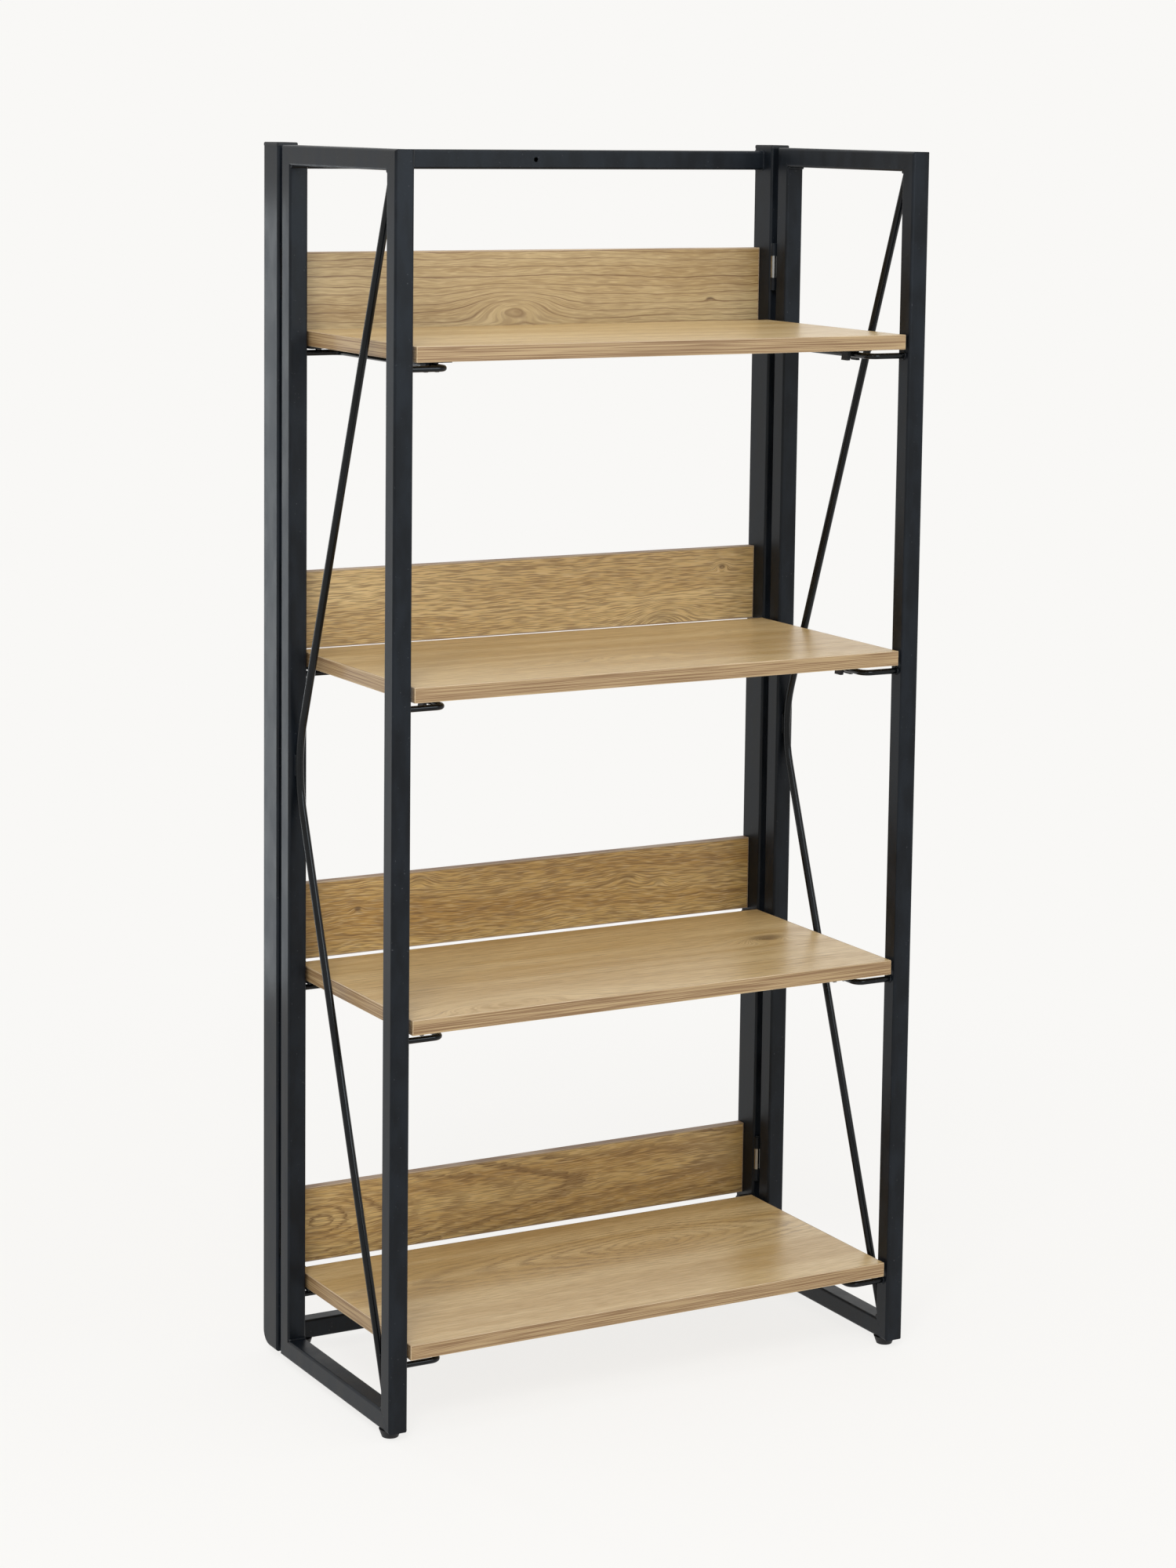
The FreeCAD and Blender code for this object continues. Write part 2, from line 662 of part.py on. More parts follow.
def make_shelf_brackets(label, shelf):
    """Make the two rolled-eye brackets that hang a shelf on its pins."""
    body = new_body(label, y="pivot_y", z="pivot_low + " + level(shelf))
    under = "shelf_thick / 2"
    flange = Outline(body, label + "_flange", "YZ_Plane", "shelf_half")
    flange.rectangle("-pivot_behind - bracket_reach", "1 - pivot_behind", "-bracket_thick - " + under, "-" + under)
    pad(body, flange, "bracket_width", backward=True)
    web = Outline(body, label + "_web", "YZ_Plane", "shelf_half")
    web.polygon([
        ("0.5 - pivot_behind", "-bracket_thick - " + under), ("eye_radius / 3", "-bracket_thick - " + under),
        ("eye_radius * cos(15deg)", "-eye_radius * sin(15deg)"),
        ("-eye_radius * cos(15deg)", "eye_radius * sin(15deg)"),
    ])
    pad(body, web, "eye_width", backward=True)
    eye = Outline(body, label + "_eye", "YZ_Plane", "shelf_half").circle("0", "0", "eye_radius")
    pad(body, eye, "eye_width", backward=True)
    bore = Outline(body, label + "_bore", "YZ_Plane").circle("0", "0", "pin_radius + pin_grip")
    pocket(body, bore, side_type="Symmetric")
    mirror_across_middle(body)


def make_shelf_pins(label, shelf):
    """Make the two pins that a shelf turns on."""
    body = new_body(label, y="pivot_y", z="pivot_low + " + level(shelf))
    profile = Outline(body, label + "_profile", "XZ_Plane")
    profile.rectangle("shelf_half - eye_width", "post_inner + bush_reach", "0", "pin_radius")
    revolve(body, profile, "H_Axis")
    mirror_across_middle(body)


def make_shelf_clips(label, shelf):
    """Make the two clips that snap down over the support wires."""
    wire_z = "shelf_low - wire_drop + " + level(shelf)
    body = new_body(label, y="front + clip_back", z=wire_z)
    base = Outline(body, label + "_base", "XY_Plane", "jaw_inner")
    base.rectangle("wire_x - clip_length / 2", "wire_x + clip_length / 2", "-clip_width / 2", "clip_width / 2")
    plate = pad(body, base, "clip_plate")
    fillet(body, plate, straight_edges(plate, Z_DIRECTION), "clip_round")
    jaw_foot = "-wire_radius - jaw_drop"
    jaws = Outline(body, label + "_jaws", "XZ_Plane")
    jaws.polygon([
        ("wire_x - jaw_inner - jaw_thick", "jaw_inner + clip_plate / 2"),
        ("wire_x - jaw_inner - jaw_thick - jaw_flare", jaw_foot),
        ("wire_x + jaw_inner + jaw_thick + jaw_flare", jaw_foot),
        ("wire_x + jaw_inner + jaw_thick", "jaw_inner + clip_plate / 2"),
    ])
    pad(body, jaws, "jaw_length", "Symmetric")
    slot = Outline(body, label + "_slot", "XZ_Plane")
    slot.polygon([
        ("wire_x - jaw_inner", "0"), ("wire_x - jaw_inner", "-wire_radius"),
        ("wire_x - jaw_inner - jaw_flare", jaw_foot + " - 1"),
        ("wire_x + jaw_inner + jaw_flare", jaw_foot + " - 1"),
        ("wire_x + jaw_inner", "-wire_radius"), ("wire_x + jaw_inner", "0"),
    ])
    pocket(body, slot, side_type="Symmetric")
    seat = Outline(body, label + "_seat", "XZ_Plane").circle("wire_x", "0", "jaw_inner")
    pocket(body, seat, side_type="Symmetric")
    mirror_across_middle(body)


def make_back_frame():
    """Make the back frame with its caps, plugs, feet and upstands."""
    for name, side in SIDES:
        make_back_post("back_post_" + name, side)
        make_post_cap("back_cap_" + name, side)
        make_post_plug("back_plug_" + name, side)
        foot_x = signed(side, "half_width - back_foot_in")
        make_foot("back_foot_" + name, foot_x, "rail_rear - rail_depth / 2", "low_rail_z")
        make_pivot_bushes(name + "_pivot_bushes", side)
    make_back_rail("back_top_rail", "frame_top - top_rail_drop - rail_height", wall_hole=True)
    make_back_rail("back_bottom_rail", "low_rail_z")
    for shelf in range(1, SHELVES + 1):
        make_upstand("back_board_%d" % shelf, shelf)
    make_board_tabs("board_tabs")
    make_board_screws("board_screws")


def make_side_frames():
    """Make both side frames with their braces, wires, glides and hinges."""
    outer = [("-leaf_height / 2", "-outer_start"), ("outer_start", "leaf_height / 2")]
    middle = [("-middle_knuckle / 2", "middle_knuckle / 2")]
    for name, side in SIDES:
        make_side_frame(name, side)
        make_brace_rod(name + "_brace_rod", side)
        for shelf in range(1, SHELVES + 1):
            wire_z = "shelf_low - wire_drop + " + level(shelf)
            make_support_wire("%s_wire_%d" % (name, shelf), side, wire_z)
        make_foot(name + "_glide", signed(side, "tube_x"), "front + glide_back", "floor_gap")
        make_hinge_leaves(name + "_frame_leaves", side, -1, outer)
        make_hinge_leaves(name + "_back_leaves", side, 1, middle)
        make_hinge_pins(name + "_hinge_pins", side)


def make_shelves():
    """Make the shelves with what tips up with each of them."""
    for shelf in range(1, SHELVES + 1):
        make_shelf("shelf_%d" % shelf, shelf)
        make_shelf_brackets("shelf_%d_brackets" % shelf, shelf)
        make_shelf_pins("shelf_%d_pins" % shelf, shelf)
        make_shelf_clips("shelf_%d_clips" % shelf, shelf)


def check_document():
    """Stop if any object failed, or any sub-part has no valid shape."""
    for item in doc.Objects:
        if "Invalid" in item.State or "Error" in item.State:
            raise RuntimeError("%s failed: %s" % (item.Name, item.State))
    for body in doc.findObjects("PartDesign::Body"):
        if body.Shape.isNull() or not body.Shape.isValid() or not body.Shape.Solids:
            raise RuntimeError(body.Label + " has no valid solid")


def export_parts():
    """Write each sub-part to its own STEP file."""
    os.makedirs("parts", exist_ok=True)
    for body in doc.findObjects("PartDesign::Body"):
        body.Shape.exportStep("parts/%s.step" % body.Label)
        print("%-24s %d solids %10.1f mm3" % (body.Label, len(body.Shape.Solids), body.Shape.Volume))


make_back_frame()
make_side_frames()
make_shelves()
doc.recompute()
check_document()
export_parts()
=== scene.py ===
"""Looks of a folding bookcase: powder-coated tube frames, oak laminate shelves and zinc hinges.

Lengths are in metres in the bookcase's own frame: +X to the right seen from the front, -Y to the
front and +Z up, with the origin on the floor.
"""
import logging
import math
from dataclasses import dataclass
from enum import Enum, IntEnum
from functools import partial
from typing import Dict, List, Mapping, Optional, Sequence, Tuple, Union

import bmesh
import bpy
from mathutils import Matrix, Vector, noise


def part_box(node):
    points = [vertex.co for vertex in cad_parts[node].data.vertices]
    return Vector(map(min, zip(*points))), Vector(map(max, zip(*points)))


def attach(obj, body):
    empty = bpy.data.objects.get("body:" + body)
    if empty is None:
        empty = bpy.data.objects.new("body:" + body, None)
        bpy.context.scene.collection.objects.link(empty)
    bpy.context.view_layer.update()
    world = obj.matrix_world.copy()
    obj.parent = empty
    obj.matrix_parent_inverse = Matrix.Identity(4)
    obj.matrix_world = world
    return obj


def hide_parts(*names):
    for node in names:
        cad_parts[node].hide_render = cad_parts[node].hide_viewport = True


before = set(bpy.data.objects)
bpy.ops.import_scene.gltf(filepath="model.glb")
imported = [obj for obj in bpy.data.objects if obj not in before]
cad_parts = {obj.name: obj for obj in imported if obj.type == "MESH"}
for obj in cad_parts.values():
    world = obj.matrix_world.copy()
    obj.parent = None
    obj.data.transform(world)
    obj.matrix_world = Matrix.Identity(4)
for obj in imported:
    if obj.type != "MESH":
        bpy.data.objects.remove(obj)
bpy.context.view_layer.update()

log = logging.getLogger("bookcase")

Shape = bmesh.types.BMesh
Material = bpy.types.Material
Socket = bpy.types.NodeSocket
Feed = Union[Socket, float, Sequence[float]]
Colour = Tuple[float, float, float]
Triple = Tuple[float, float, float]

SHELF_NUMBERS = (1, 2, 3, 4)
FRAME_BODY = "frame"

# The values between which nearly all noise lies.
NOISE_RANGE = (0.3, 0.7)
# How far one unit of shift moves noise along X, Y and Z.
SHIFT_STEPS = (1.0, 1.7, 2.3)
# How much duller the dullest spot of a finish is than its glossiest.
GLOSS_SPREAD = 0.12
# Cells of noise a metre in the lumps of a weld bead.
BEAD_LUMPS = 700.0
# How far the pattern of the edge strips moves from one board to the next.
STRIP_STEP = 5.0
# The least share of a face's direction along one axis that makes it square to that axis.
SQUARE_ON = 0.999


class Slot(Enum):
    """Material slots of the record."""

    FRAME_COAT = "frame_coat"
    BRACKET_COAT = "bracket_coat"
    OAK_SHELF = "oak_shelf"
    OAK_BOARD = "oak_board"
    HINGE_STEEL = "hinge_steel"
    ZINC_PIN = "zinc_pin"
    SCREW_STEEL = "screw_steel"
    CLIP_PLASTIC = "clip_plastic"
    CAP_PLASTIC = "cap_plastic"
    FOOT_PLASTIC = "foot_plastic"
    BUSH_PLASTIC = "bush_plastic"


class Lie(Enum):
    """How an oak piece lies, which says the axis that runs across its grain."""

    FLAT = "Y"
    UPRIGHT = "Z"


class Cover(IntEnum):
    """What covers a face of a board, as the number of its material."""

    FACE = 0
    STRIP = 1
    ARRIS = 2


class Side(Enum):
    """The two sides of the bookcase, with the sign of X."""

    LEFT = -1
    RIGHT = 1

    @property
    def label(self) -> str:
        """Return the word that the node names use for this side."""
        return self.name.lower()


def paint(red: float, green: float, blue: float) -> Colour:
    """Return a screen colour, given as 0 to 255, as linear light by the sRGB curve."""
    return tuple(((value / 255 + 0.055) / 1.055) ** 2.4 if value > 10 else value / 255 / 12.92
                 for value in (red, green, blue))


def opaque(colour: Colour) -> Tuple[float, float, float, float]:
    """Return the colour with a full alpha."""
    return (*colour, 1.0)


def shaded(colour: Colour, factor: float) -> Tuple[float, float, float, float]:
    """Return the colour made lighter or darker by a factor, with a full alpha."""
    return opaque(tuple(value * factor for value in colour))


class Wiring:
    """A node tree under construction, and the steps that the finishes and the backdrop share."""

    def __init__(self, tree: bpy.types.NodeTree) -> None:
        """Start with the tree of a material or of the backdrop, emptied."""
        self.tree = tree
        self.tree.nodes.clear()

    def node(self, kind: str, feeds: Optional[Mapping[Union[int, str], Feed]] = None,
             **settings: object) -> bpy.types.Node:
        """Add a node.

        Args:
            kind: Blender's name of the node type.
            feeds: What goes into its inputs, a socket or a constant for each.
            **settings: Properties to set on the node.

        Returns:
            The new node.
        """
        made = self.tree.nodes.new(kind)
        for key, setting in settings.items():
            setattr(made, key, setting)
        for key, feed in (feeds or {}).items():
            if isinstance(feed, bpy.types.NodeSocket):
                self.tree.links.new(feed, made.inputs[key])
            else:
                made.inputs[key].default_value = feed
        return made

    def maths(self, operation: str, first: Feed, second: Feed = 0.0) -> Socket:
        """Return the result of one arithmetic step on two numbers."""
        return self.node("ShaderNodeMath", {0: first, 1: second}, operation=operation).outputs[0]

    def squares(self, first: Feed, second: Feed) -> Socket:
        """Return the sum of the squares of two numbers."""
        return self.maths("ADD", self.maths("POWER", first, 2.0), self.maths("POWER", second, 2.0))

    def seen(self) -> Socket:
        """Tell the rays that show the backdrop as it is from those that only carry its light.

        Returns:
            1 on the rays of the camera, of reflections and of clear materials, and 0 on all others.
        """
        rays = self.node("ShaderNodeLightPath").outputs
        shiny = self.maths("MAXIMUM", rays["Is Glossy Ray"], rays["Is Transmission Ray"])
        return self.maths("MAXIMUM", rays["Is Camera Ray"], shiny)


class Recipe(Wiring):
    """A material under construction, with the steps that the finishes use."""

    def __init__(self, name: str) -> None:
        """Start an empty material.

        Args:
            name: Name of the material.
        """
        self.material = bpy.data.materials.new(name)
        self.material.use_nodes = True
        super().__init__(self.material.node_tree)
        self.place = self.node("ShaderNodeTexCoord").outputs["Object"]

    def axes(self) -> Dict[str, Socket]:
        """Return the X, Y and Z of the place on the piece."""
        split = self.node("ShaderNodeSeparateXYZ", {0: self.place})
        return {axis: split.outputs[axis] for axis in "XYZ"}

    def vectors(self, operation: str, first: Feed, second: Feed) -> Socket:
        """Return the result of one arithmetic step on two places."""
        return self.node("ShaderNodeVectorMath", {0: first, 1: second}, operation=operation).outputs[0]

    def swing(self, value: Socket, width: float) -> Socket:
        """Return the value of a noise as a swing to both sides of 0, as wide as is given."""
        return self.maths("MULTIPLY", self.maths("SUBTRACT", value, 0.5), width)

    def ramp(self, value: Feed, low: float, high: float, first: float = 0.0, last: float = 1.0) -> Socket:
        """Return a value eased from the first result, where it is low, to the last, where it is high."""
        feeds = {"Value": value, "From Min": low, "From Max": high, "To Min": first, "To Max": last}
        return self.node("ShaderNodeMapRange", feeds, interpolation_type="SMOOTHSTEP").outputs["Result"]

    def mix(self, share: Feed, first: Feed, second: Feed) -> Socket:
        """Return the colour that a share of the second colour makes with the first."""
        feeds = {0: share, 6: first, 7: second}
        return self.node("ShaderNodeMix", feeds, data_type="RGBA").outputs[2]

    def relief(self, height: Socket, depth: float, strength: float = 1.0) -> Socket:
        """Return the surface direction over a relief of a depth in metres."""
        feeds = {"Height": height, "Distance": depth, "Strength": strength}
        return self.node("ShaderNodeBump", feeds).outputs["Normal"]

    def surface(self, **feeds: Feed) -> Material:
        """Close the material with one surface shader.

        Args:
            **feeds: Inputs of the shader, with underscores for the spaces of their names.

        Returns:
            The finished material.
        """
        inputs = {name.replace("_", " "): feed for name, feed in feeds.items()}
        shader = self.node("ShaderNodeBsdfPrincipled", inputs)
        self.node("ShaderNodeOutputMaterial", {"Surface": shader.outputs[0]})
        return self.material


@dataclass(frozen=True)
class Pattern:
    """A pattern of noise in a finish.

    It has a number of cells a metre along each axis. None of it shows where the noise is below the start,
    and all of it where the noise is over the full value.
    """

    cells: Triple
    start: float = NOISE_RANGE[0]
    full: float = NOISE_RANGE[1]
    shift: float = 0.0
    detail: float = 2.0

    def noise(self, recipe: Recipe, shift: float = 0.0, along: Optional[Socket] = None) -> Socket:
        """Make the noise of the pattern.

        Args:
            recipe: Material under construction.
            shift: How far the pattern is moved, so that no two pieces are alike.
            along: Place to read the noise at, the piece's own place where none is given.

        Returns:
            The noise from 0 to 1.
        """
        move = tuple((shift + self.shift) * step for step in SHIFT_STEPS)
        place = recipe.vectors("ADD", recipe.vectors("MULTIPLY", along or recipe.place, self.cells), move)
        feeds = {"Vector": place, "Scale": 1.0, "Detail": self.detail, "Roughness": 0.5}
        return recipe.node("ShaderNodeTexNoise", feeds).outputs["Fac"]

    def share(self, recipe: Recipe, value: Socket, least: float = 0.0) -> Socket:
        """Return how much of the pattern shows at a value of its noise, from the least share up to 1."""
        return recipe.ramp(value, self.start, self.full, least, 1.0)


@dataclass(frozen=True)
class PowderCoat:
    """Satin black powder coat: a fine orange peel and specks of dust, with slightly uneven gloss."""

    name: str
    colour: Colour = paint(13, 17, 22)
    mottle: float = 1.9
    gloss_low: float = 0.34
    gloss_high: float = 0.42
    sheen: float = 0.18
    peel: Pattern = Pattern((900.0, 900.0, 900.0))
    peel_depth: float = 0.00005
    cloud: Pattern = Pattern((55.0, 55.0, 22.0), 0.35, 0.65, shift=3.0, detail=4.0)
    dust: Pattern = Pattern((420.0, 420.0, 420.0), 0.74, 0.82, shift=9.0, detail=1.0)
    dust_colour: Colour = paint(92, 94, 98)
    dust_share: float = 0.35

    def material(self) -> Material:
        """Mix the finish.

        Returns:
            The finish as a material.
        """
        recipe = Recipe(self.name)
        cloud = self.cloud.noise(recipe)
        cloudy = self.cloud.share(recipe, cloud)
        dusty = recipe.maths("MULTIPLY", self.dust.share(recipe, self.dust.noise(recipe)), self.dust_share)
        coat = recipe.mix(cloudy, opaque(self.colour), shaded(self.colour, self.mottle))
        return recipe.surface(
            Base_Color=recipe.mix(dusty, coat, opaque(self.dust_colour)),
            Roughness=recipe.ramp(cloud, *NOISE_RANGE, self.gloss_low, self.gloss_high),
            Specular_IOR_Level=self.sheen,
            Normal=recipe.relief(self.peel.noise(recipe), self.peel_depth),
        )


@dataclass(frozen=True)
class Wave:
    """A wave in the grain: its cells a metre along and across the grain, and its width in metres."""

    along: float
    across: float
    width: float


@dataclass(frozen=True)
class Knot:
    """A knot in an oak print.

    It has its place along X and across the grain, its length and width, the distance by which it pushes
    the grain aside, and the darkness of its core.
    """

    along: float
    across: float
    length: float
    width: float
    swell: float
    core: float


@dataclass(frozen=True)
class OakLaminate:
    """Light oak print on board: fibres along X, and growth lines that bend with them or run round a heart.

    The growth lines come at a ring gap, and crowding moves them by a number of gaps. A line darkens over
    its width up to the crest of its gap. The rings of a heart are flat ovals that straighten beyond the
    reach. With a fade, only a remnant of them is left beyond that distance from the heart.
    """

    name: str
    lie: Lie
    shift: float
    heart: Optional[Tuple[float, float]] = None
    rise: float = 0.30
    reach: float = 0.15
    skew: float = 0.0
    waves: Tuple[Wave, ...] = (Wave(4.0, 12.0, 0.018), Wave(20.0, 50.0, 0.0045), Wave(75.0, 150.0, 0.0006))
    sway: float = 1.0
    ring_gap: float = 0.009
    ring_force: float = 0.5
    ring_width: float = 0.14
    crest: float = 0.94
    crowding: Pattern = Pattern((0.8, 30.0, 6.0), shift=1.0)
    crowded_gaps: float = 2.0
    patches: Pattern = Pattern((5.0, 45.0, 14.0), 0.36, 0.58, shift=5.0)
    faintest: float = 0.1
    ragged: float = 0.0040
    fade: Optional[float] = None
    remnant: float = 0.2
    bands: Pattern = Pattern((2.5, 40.0, 10.0), 0.34, 0.66, detail=3.0)
    fibres: Pattern = Pattern((50.0, 1100.0, 30.0), 0.42, 0.62, shift=7.0, detail=0.6)
    fibre_force: float = 0.55
    fibre_depth: float = 0.00008
    fibre_relief: float = 0.6
    flecks: Pattern = Pattern((70.0, 1000.0, 30.0), 0.50, 0.70, shift=11.0, detail=0.0)
    fleck_share: float = 0.7
    shine: float = 0.5
    gloss: float = 0.38
    gloss_range: Tuple[float, float] = (0.4, 0.7)
    knots: Tuple[Knot, ...] = ()
    core_range: Tuple[float, float] = (0.55, 0.98)
    pale: Colour = paint(206, 178, 127)
    middle: Colour = paint(184, 152, 98)
    brown: Colour = paint(122, 91, 55)
    fleck: Colour = paint(226, 204, 158)
    core: Colour = paint(84, 58, 36)

    def _rounding(self, recipe: Recipe, along: Socket, across: Socket) -> Socket:
        """Return how far out of the heart a place lies, in metres across the grain.

        Args:
            recipe: Material under construction.
            along: Place along the grain.
            across: Place across the grain.

        Returns:
            The distance, or the place across the grain itself where there is no heart.
        """
        if self.heart is None:
            return across
        offset = recipe.maths("SUBTRACT", along, self.heart[0])
        slant = recipe.maths("MULTIPLY", offset, self.skew)
        length = recipe.maths("SUBTRACT", recipe.maths("ABSOLUTE", offset), slant)
        easing = recipe.maths("ADD", recipe.maths("DIVIDE", length, self.reach), 1.0)
        lengthwise = recipe.maths("MULTIPLY", recipe.maths("DIVIDE", length, easing), self.rise)
        crosswise = recipe.maths("SUBTRACT", across, self.heart[1])
        return recipe.maths("SQRT", recipe.squares(lengthwise, crosswise))

    def _lanes(self, recipe: Recipe) -> Tuple[Socket, Socket, Feed]:
        """Bend the grain.

        Args:
            recipe: Material under construction.

        Returns:
            The place along and across the bent fibres, the same for the growth lines, and how dark the
            knots' cores are.
        """
        axes = recipe.axes()
        along = axes["X"]
        across = axes[self.lie.value]
        bend: Feed = 0.0
        for wave in self.waves:
            ripple = Pattern((wave.along, wave.across, wave.across)).noise(recipe, self.shift)
            bend = recipe.maths("ADD", bend, recipe.swing(ripple, wave.width * self.sway))
        cores: Feed = 0.0
        for knot in self.knots:
            lengthwise = recipe.maths("DIVIDE", recipe.maths("SUBTRACT", along, knot.along), knot.length)
            crosswise = recipe.maths("DIVIDE", recipe.maths("SUBTRACT", across, knot.across), knot.width)
            far = recipe.squares(lengthwise, crosswise)
            bell = recipe.maths("EXPONENT", recipe.maths("MULTIPLY", far, -1.0))
            bend = recipe.maths("SUBTRACT", bend, recipe.maths("MULTIPLY", bell, knot.swell))
            dark = recipe.maths("MULTIPLY", recipe.ramp(bell, *self.core_range), knot.core)
            cores = recipe.maths("ADD", cores, dark)
        fibre_lane = recipe.maths("ADD", across, bend)
        ring_lane = recipe.maths("ADD", self._rounding(recipe, along, across), bend)
        places = [recipe.node("ShaderNodeCombineXYZ", {0: along, 1: lane, 2: across}).outputs[0]
                  for lane in (fibre_lane, ring_lane)]
        return places[0], places[1], cores

    def _growth(self, recipe: Recipe, rings: Socket, fibres: Socket) -> Socket:
        """Draw the growth lines.

        Args:
            recipe: Material under construction.
            rings: Place along and across the growth lines.
            fibres: The fibres, which fray the lines.

        Returns:
            How dark the growth lines are.
        """
        lane = recipe.node("ShaderNodeSeparateXYZ", {0: rings}).outputs["Y"]
        frayed = recipe.maths("ADD", lane, recipe.swing(fibres, self.ragged))
        gaps = recipe.maths("DIVIDE", frayed, self.ring_gap)
        crowding = self.crowding.noise(recipe, self.shift, rings)
        crowded = recipe.maths("ADD", gaps, recipe.maths("MULTIPLY", crowding, self.crowded_gaps))
        turn = recipe.maths("FRACT", crowded)
        rising = recipe.ramp(turn, self.crest - self.ring_width, self.crest)
        falling = recipe.ramp(turn, self.crest, 1.0, 1.0, 0.0)
        patch = self.patches.share(recipe, self.patches.noise(recipe, self.shift, rings), self.faintest)
        line = recipe.maths("MULTIPLY", recipe.maths("MULTIPLY", rising, falling), patch)
        if self.fade:
            near = recipe.ramp(lane, self.fade / 2, self.fade, 1.0, self.remnant)
            line = recipe.maths("MULTIPLY", line, near)
        return recipe.maths("MULTIPLY", line, self.ring_force)

    def material(self) -> Material:
        """Print the board: bands first, then flecks, fibres, growth lines and the cores of the knots.

        Returns:
            The finish as a material.
        """
        recipe = Recipe(self.name)
        grain, rings, cores = self._lanes(recipe)
        fibres, bands, flecks = (pattern.noise(recipe, self.shift, grain)
                                 for pattern in (self.fibres, self.bands, self.flecks))
        fleck_force = self.fleck_share * self.fibre_force
        bright = recipe.maths("MULTIPLY", self.flecks.share(recipe, flecks), fleck_force)
        dark = recipe.maths("MULTIPLY", self.fibres.share(recipe, fibres), self.fibre_force)
        growth = self._growth(recipe, rings, fibres)
        wood = recipe.mix(self.bands.share(recipe, bands), opaque(self.pale), opaque(self.middle))
        layers = ((bright, self.fleck), (dark, self.brown), (growth, self.brown), (cores, self.core))
        for share, colour in layers:
            wood = recipe.mix(share, wood, opaque(colour))
        pores = recipe.maths("SUBTRACT", 1.0, fibres)
        return recipe.surface(
            Base_Color=wood,
            Roughness=recipe.ramp(fibres, *self.gloss_range, self.gloss, self.gloss + GLOSS_SPREAD),
            Specular_IOR_Level=self.shine,
            Normal=recipe.relief(pores, self.fibre_depth, self.fibre_relief),
        )


@dataclass(frozen=True)
class EdgeBanding:
    """Streaky oak strip round the edges of a board, or the paler line where it is trimmed."""

    name: str
    shift: float
    light: Colour = paint(178, 151, 111)
    dark: Colour = paint(126, 94, 60)
    contrast: float = 0.85
    streaks: Pattern = Pattern((12.0, 1400.0, 1.0), 0.44, 0.62, detail=0.5)
    ticks: Pattern = Pattern((2.5, 800.0, 1.0), 0.54, 0.62, shift=4.0, detail=0.5)
    tick_share: float = 0.6
    dullness: float = 0.5
    streak_depth: float = 0.00005
    streak_relief: float = 0.5

    def material(self) -> Material:
        """Mix the finish, whose pattern runs round the edges.

        Returns:
            The finish as a material.
        """
        recipe = Recipe(self.name)
        axes = recipe.axes()
        along = recipe.maths("ADD", axes["X"], axes["Y"])
        run = recipe.node("ShaderNodeCombineXYZ", {0: along, 1: axes["Z"], 2: 0.0}).outputs[0]
        streaks = self.streaks.noise(recipe, self.shift, run)
        ticks = self.ticks.share(recipe, self.ticks.noise(recipe, self.shift, run))
        streaked = recipe.maths("MULTIPLY", self.streaks.share(recipe, streaks), self.contrast)
        ticked = recipe.maths("MULTIPLY", ticks, self.tick_share * self.contrast)
        strip = recipe.mix(streaked, opaque(self.light), opaque(self.dark))
        strip = recipe.mix(ticked, strip, opaque(self.dark))
        relief = recipe.relief(streaks, self.streak_depth, self.streak_relief)
        return recipe.surface(Base_Color=strip, Roughness=self.dullness, Normal=relief)


@dataclass(frozen=True)
class ZincPlate:
    """Zinc plated steel with fine drawing marks up its length."""

    name: str
    colour: Colour = paint(205, 205, 203)
    gloss: float = 0.30
    dulling: float = 0.72
    cloud: Pattern = Pattern((160.0, 160.0, 160.0), shift=2.0, detail=3.0)
    marks: Pattern = Pattern((900.0, 900.0, 60.0), detail=3.0)
    mark_depth: float = 0.00002
    mark_relief: float = 0.6

    def material(self) -> Material:
        """Mix the finish.

        Returns:
            The finish as a material.
        """
        recipe = Recipe(self.name)
        marks = self.marks.noise(recipe)
        cloud = self.cloud.noise(recipe)
        return recipe.surface(
            Base_Color=recipe.mix(cloud, opaque(self.colour), shaded(self.colour, self.dulling)),
            Metallic=1.0,
            Roughness=recipe.ramp(marks, *NOISE_RANGE, self.gloss, self.gloss + GLOSS_SPREAD),
            Normal=recipe.relief(marks, self.mark_depth, self.mark_relief),
        )


@dataclass(frozen=True)
class MouldedPlastic:
    """Moulded plastic with a spark-eroded texture."""

    name: str
    colour: Colour
    gloss: float = 0.48
    mottle: float = 1.4
    sheen: float = 0.25
    texture: Pattern = Pattern((1600.0, 1600.0, 1600.0))
    texture_depth: float = 0.00006
    cloud: Pattern = Pattern((40.0, 40.0, 40.0), shift=4.0)

    def material(self) -> Material:
        """Mix the finish.

        Returns:
            The finish as a material.
        """
        recipe = Recipe(self.name)
        texture = self.texture.noise(recipe)
        cloud = self.cloud.noise(recipe)
        return recipe.surface(
            Base_Color=recipe.mix(cloud, opaque(self.colour), shaded(self.colour, self.mottle)),
            Roughness=recipe.ramp(texture, *NOISE_RANGE, self.gloss, self.gloss + GLOSS_SPREAD),
            Specular_IOR_Level=self.sheen,
            Normal=recipe.relief(texture, self.texture_depth),
        )


@dataclass(frozen=True)
class Span:
    """The box that a node fills."""

    low: Vector
    high: Vector

    @classmethod
    def of(cls, node: str) -> "Span":
        """Return the box of a node."""
        return cls(*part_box(node))

    @property
    def middle(self) -> Vector:
        """Return the middle of the box."""
        return (self.low + self.high) / 2


def add_object(name: str, data: bpy.types.ID) -> bpy.types.Object:
    """Make an object and put it into the scene.

    Args:
        name: Name of the object.
        data: Its mesh, lamp or camera.

    Returns:
        The new object.
    """
    made = bpy.data.objects.new(name, data)
    bpy.context.scene.collection.objects.link(made)
    return made


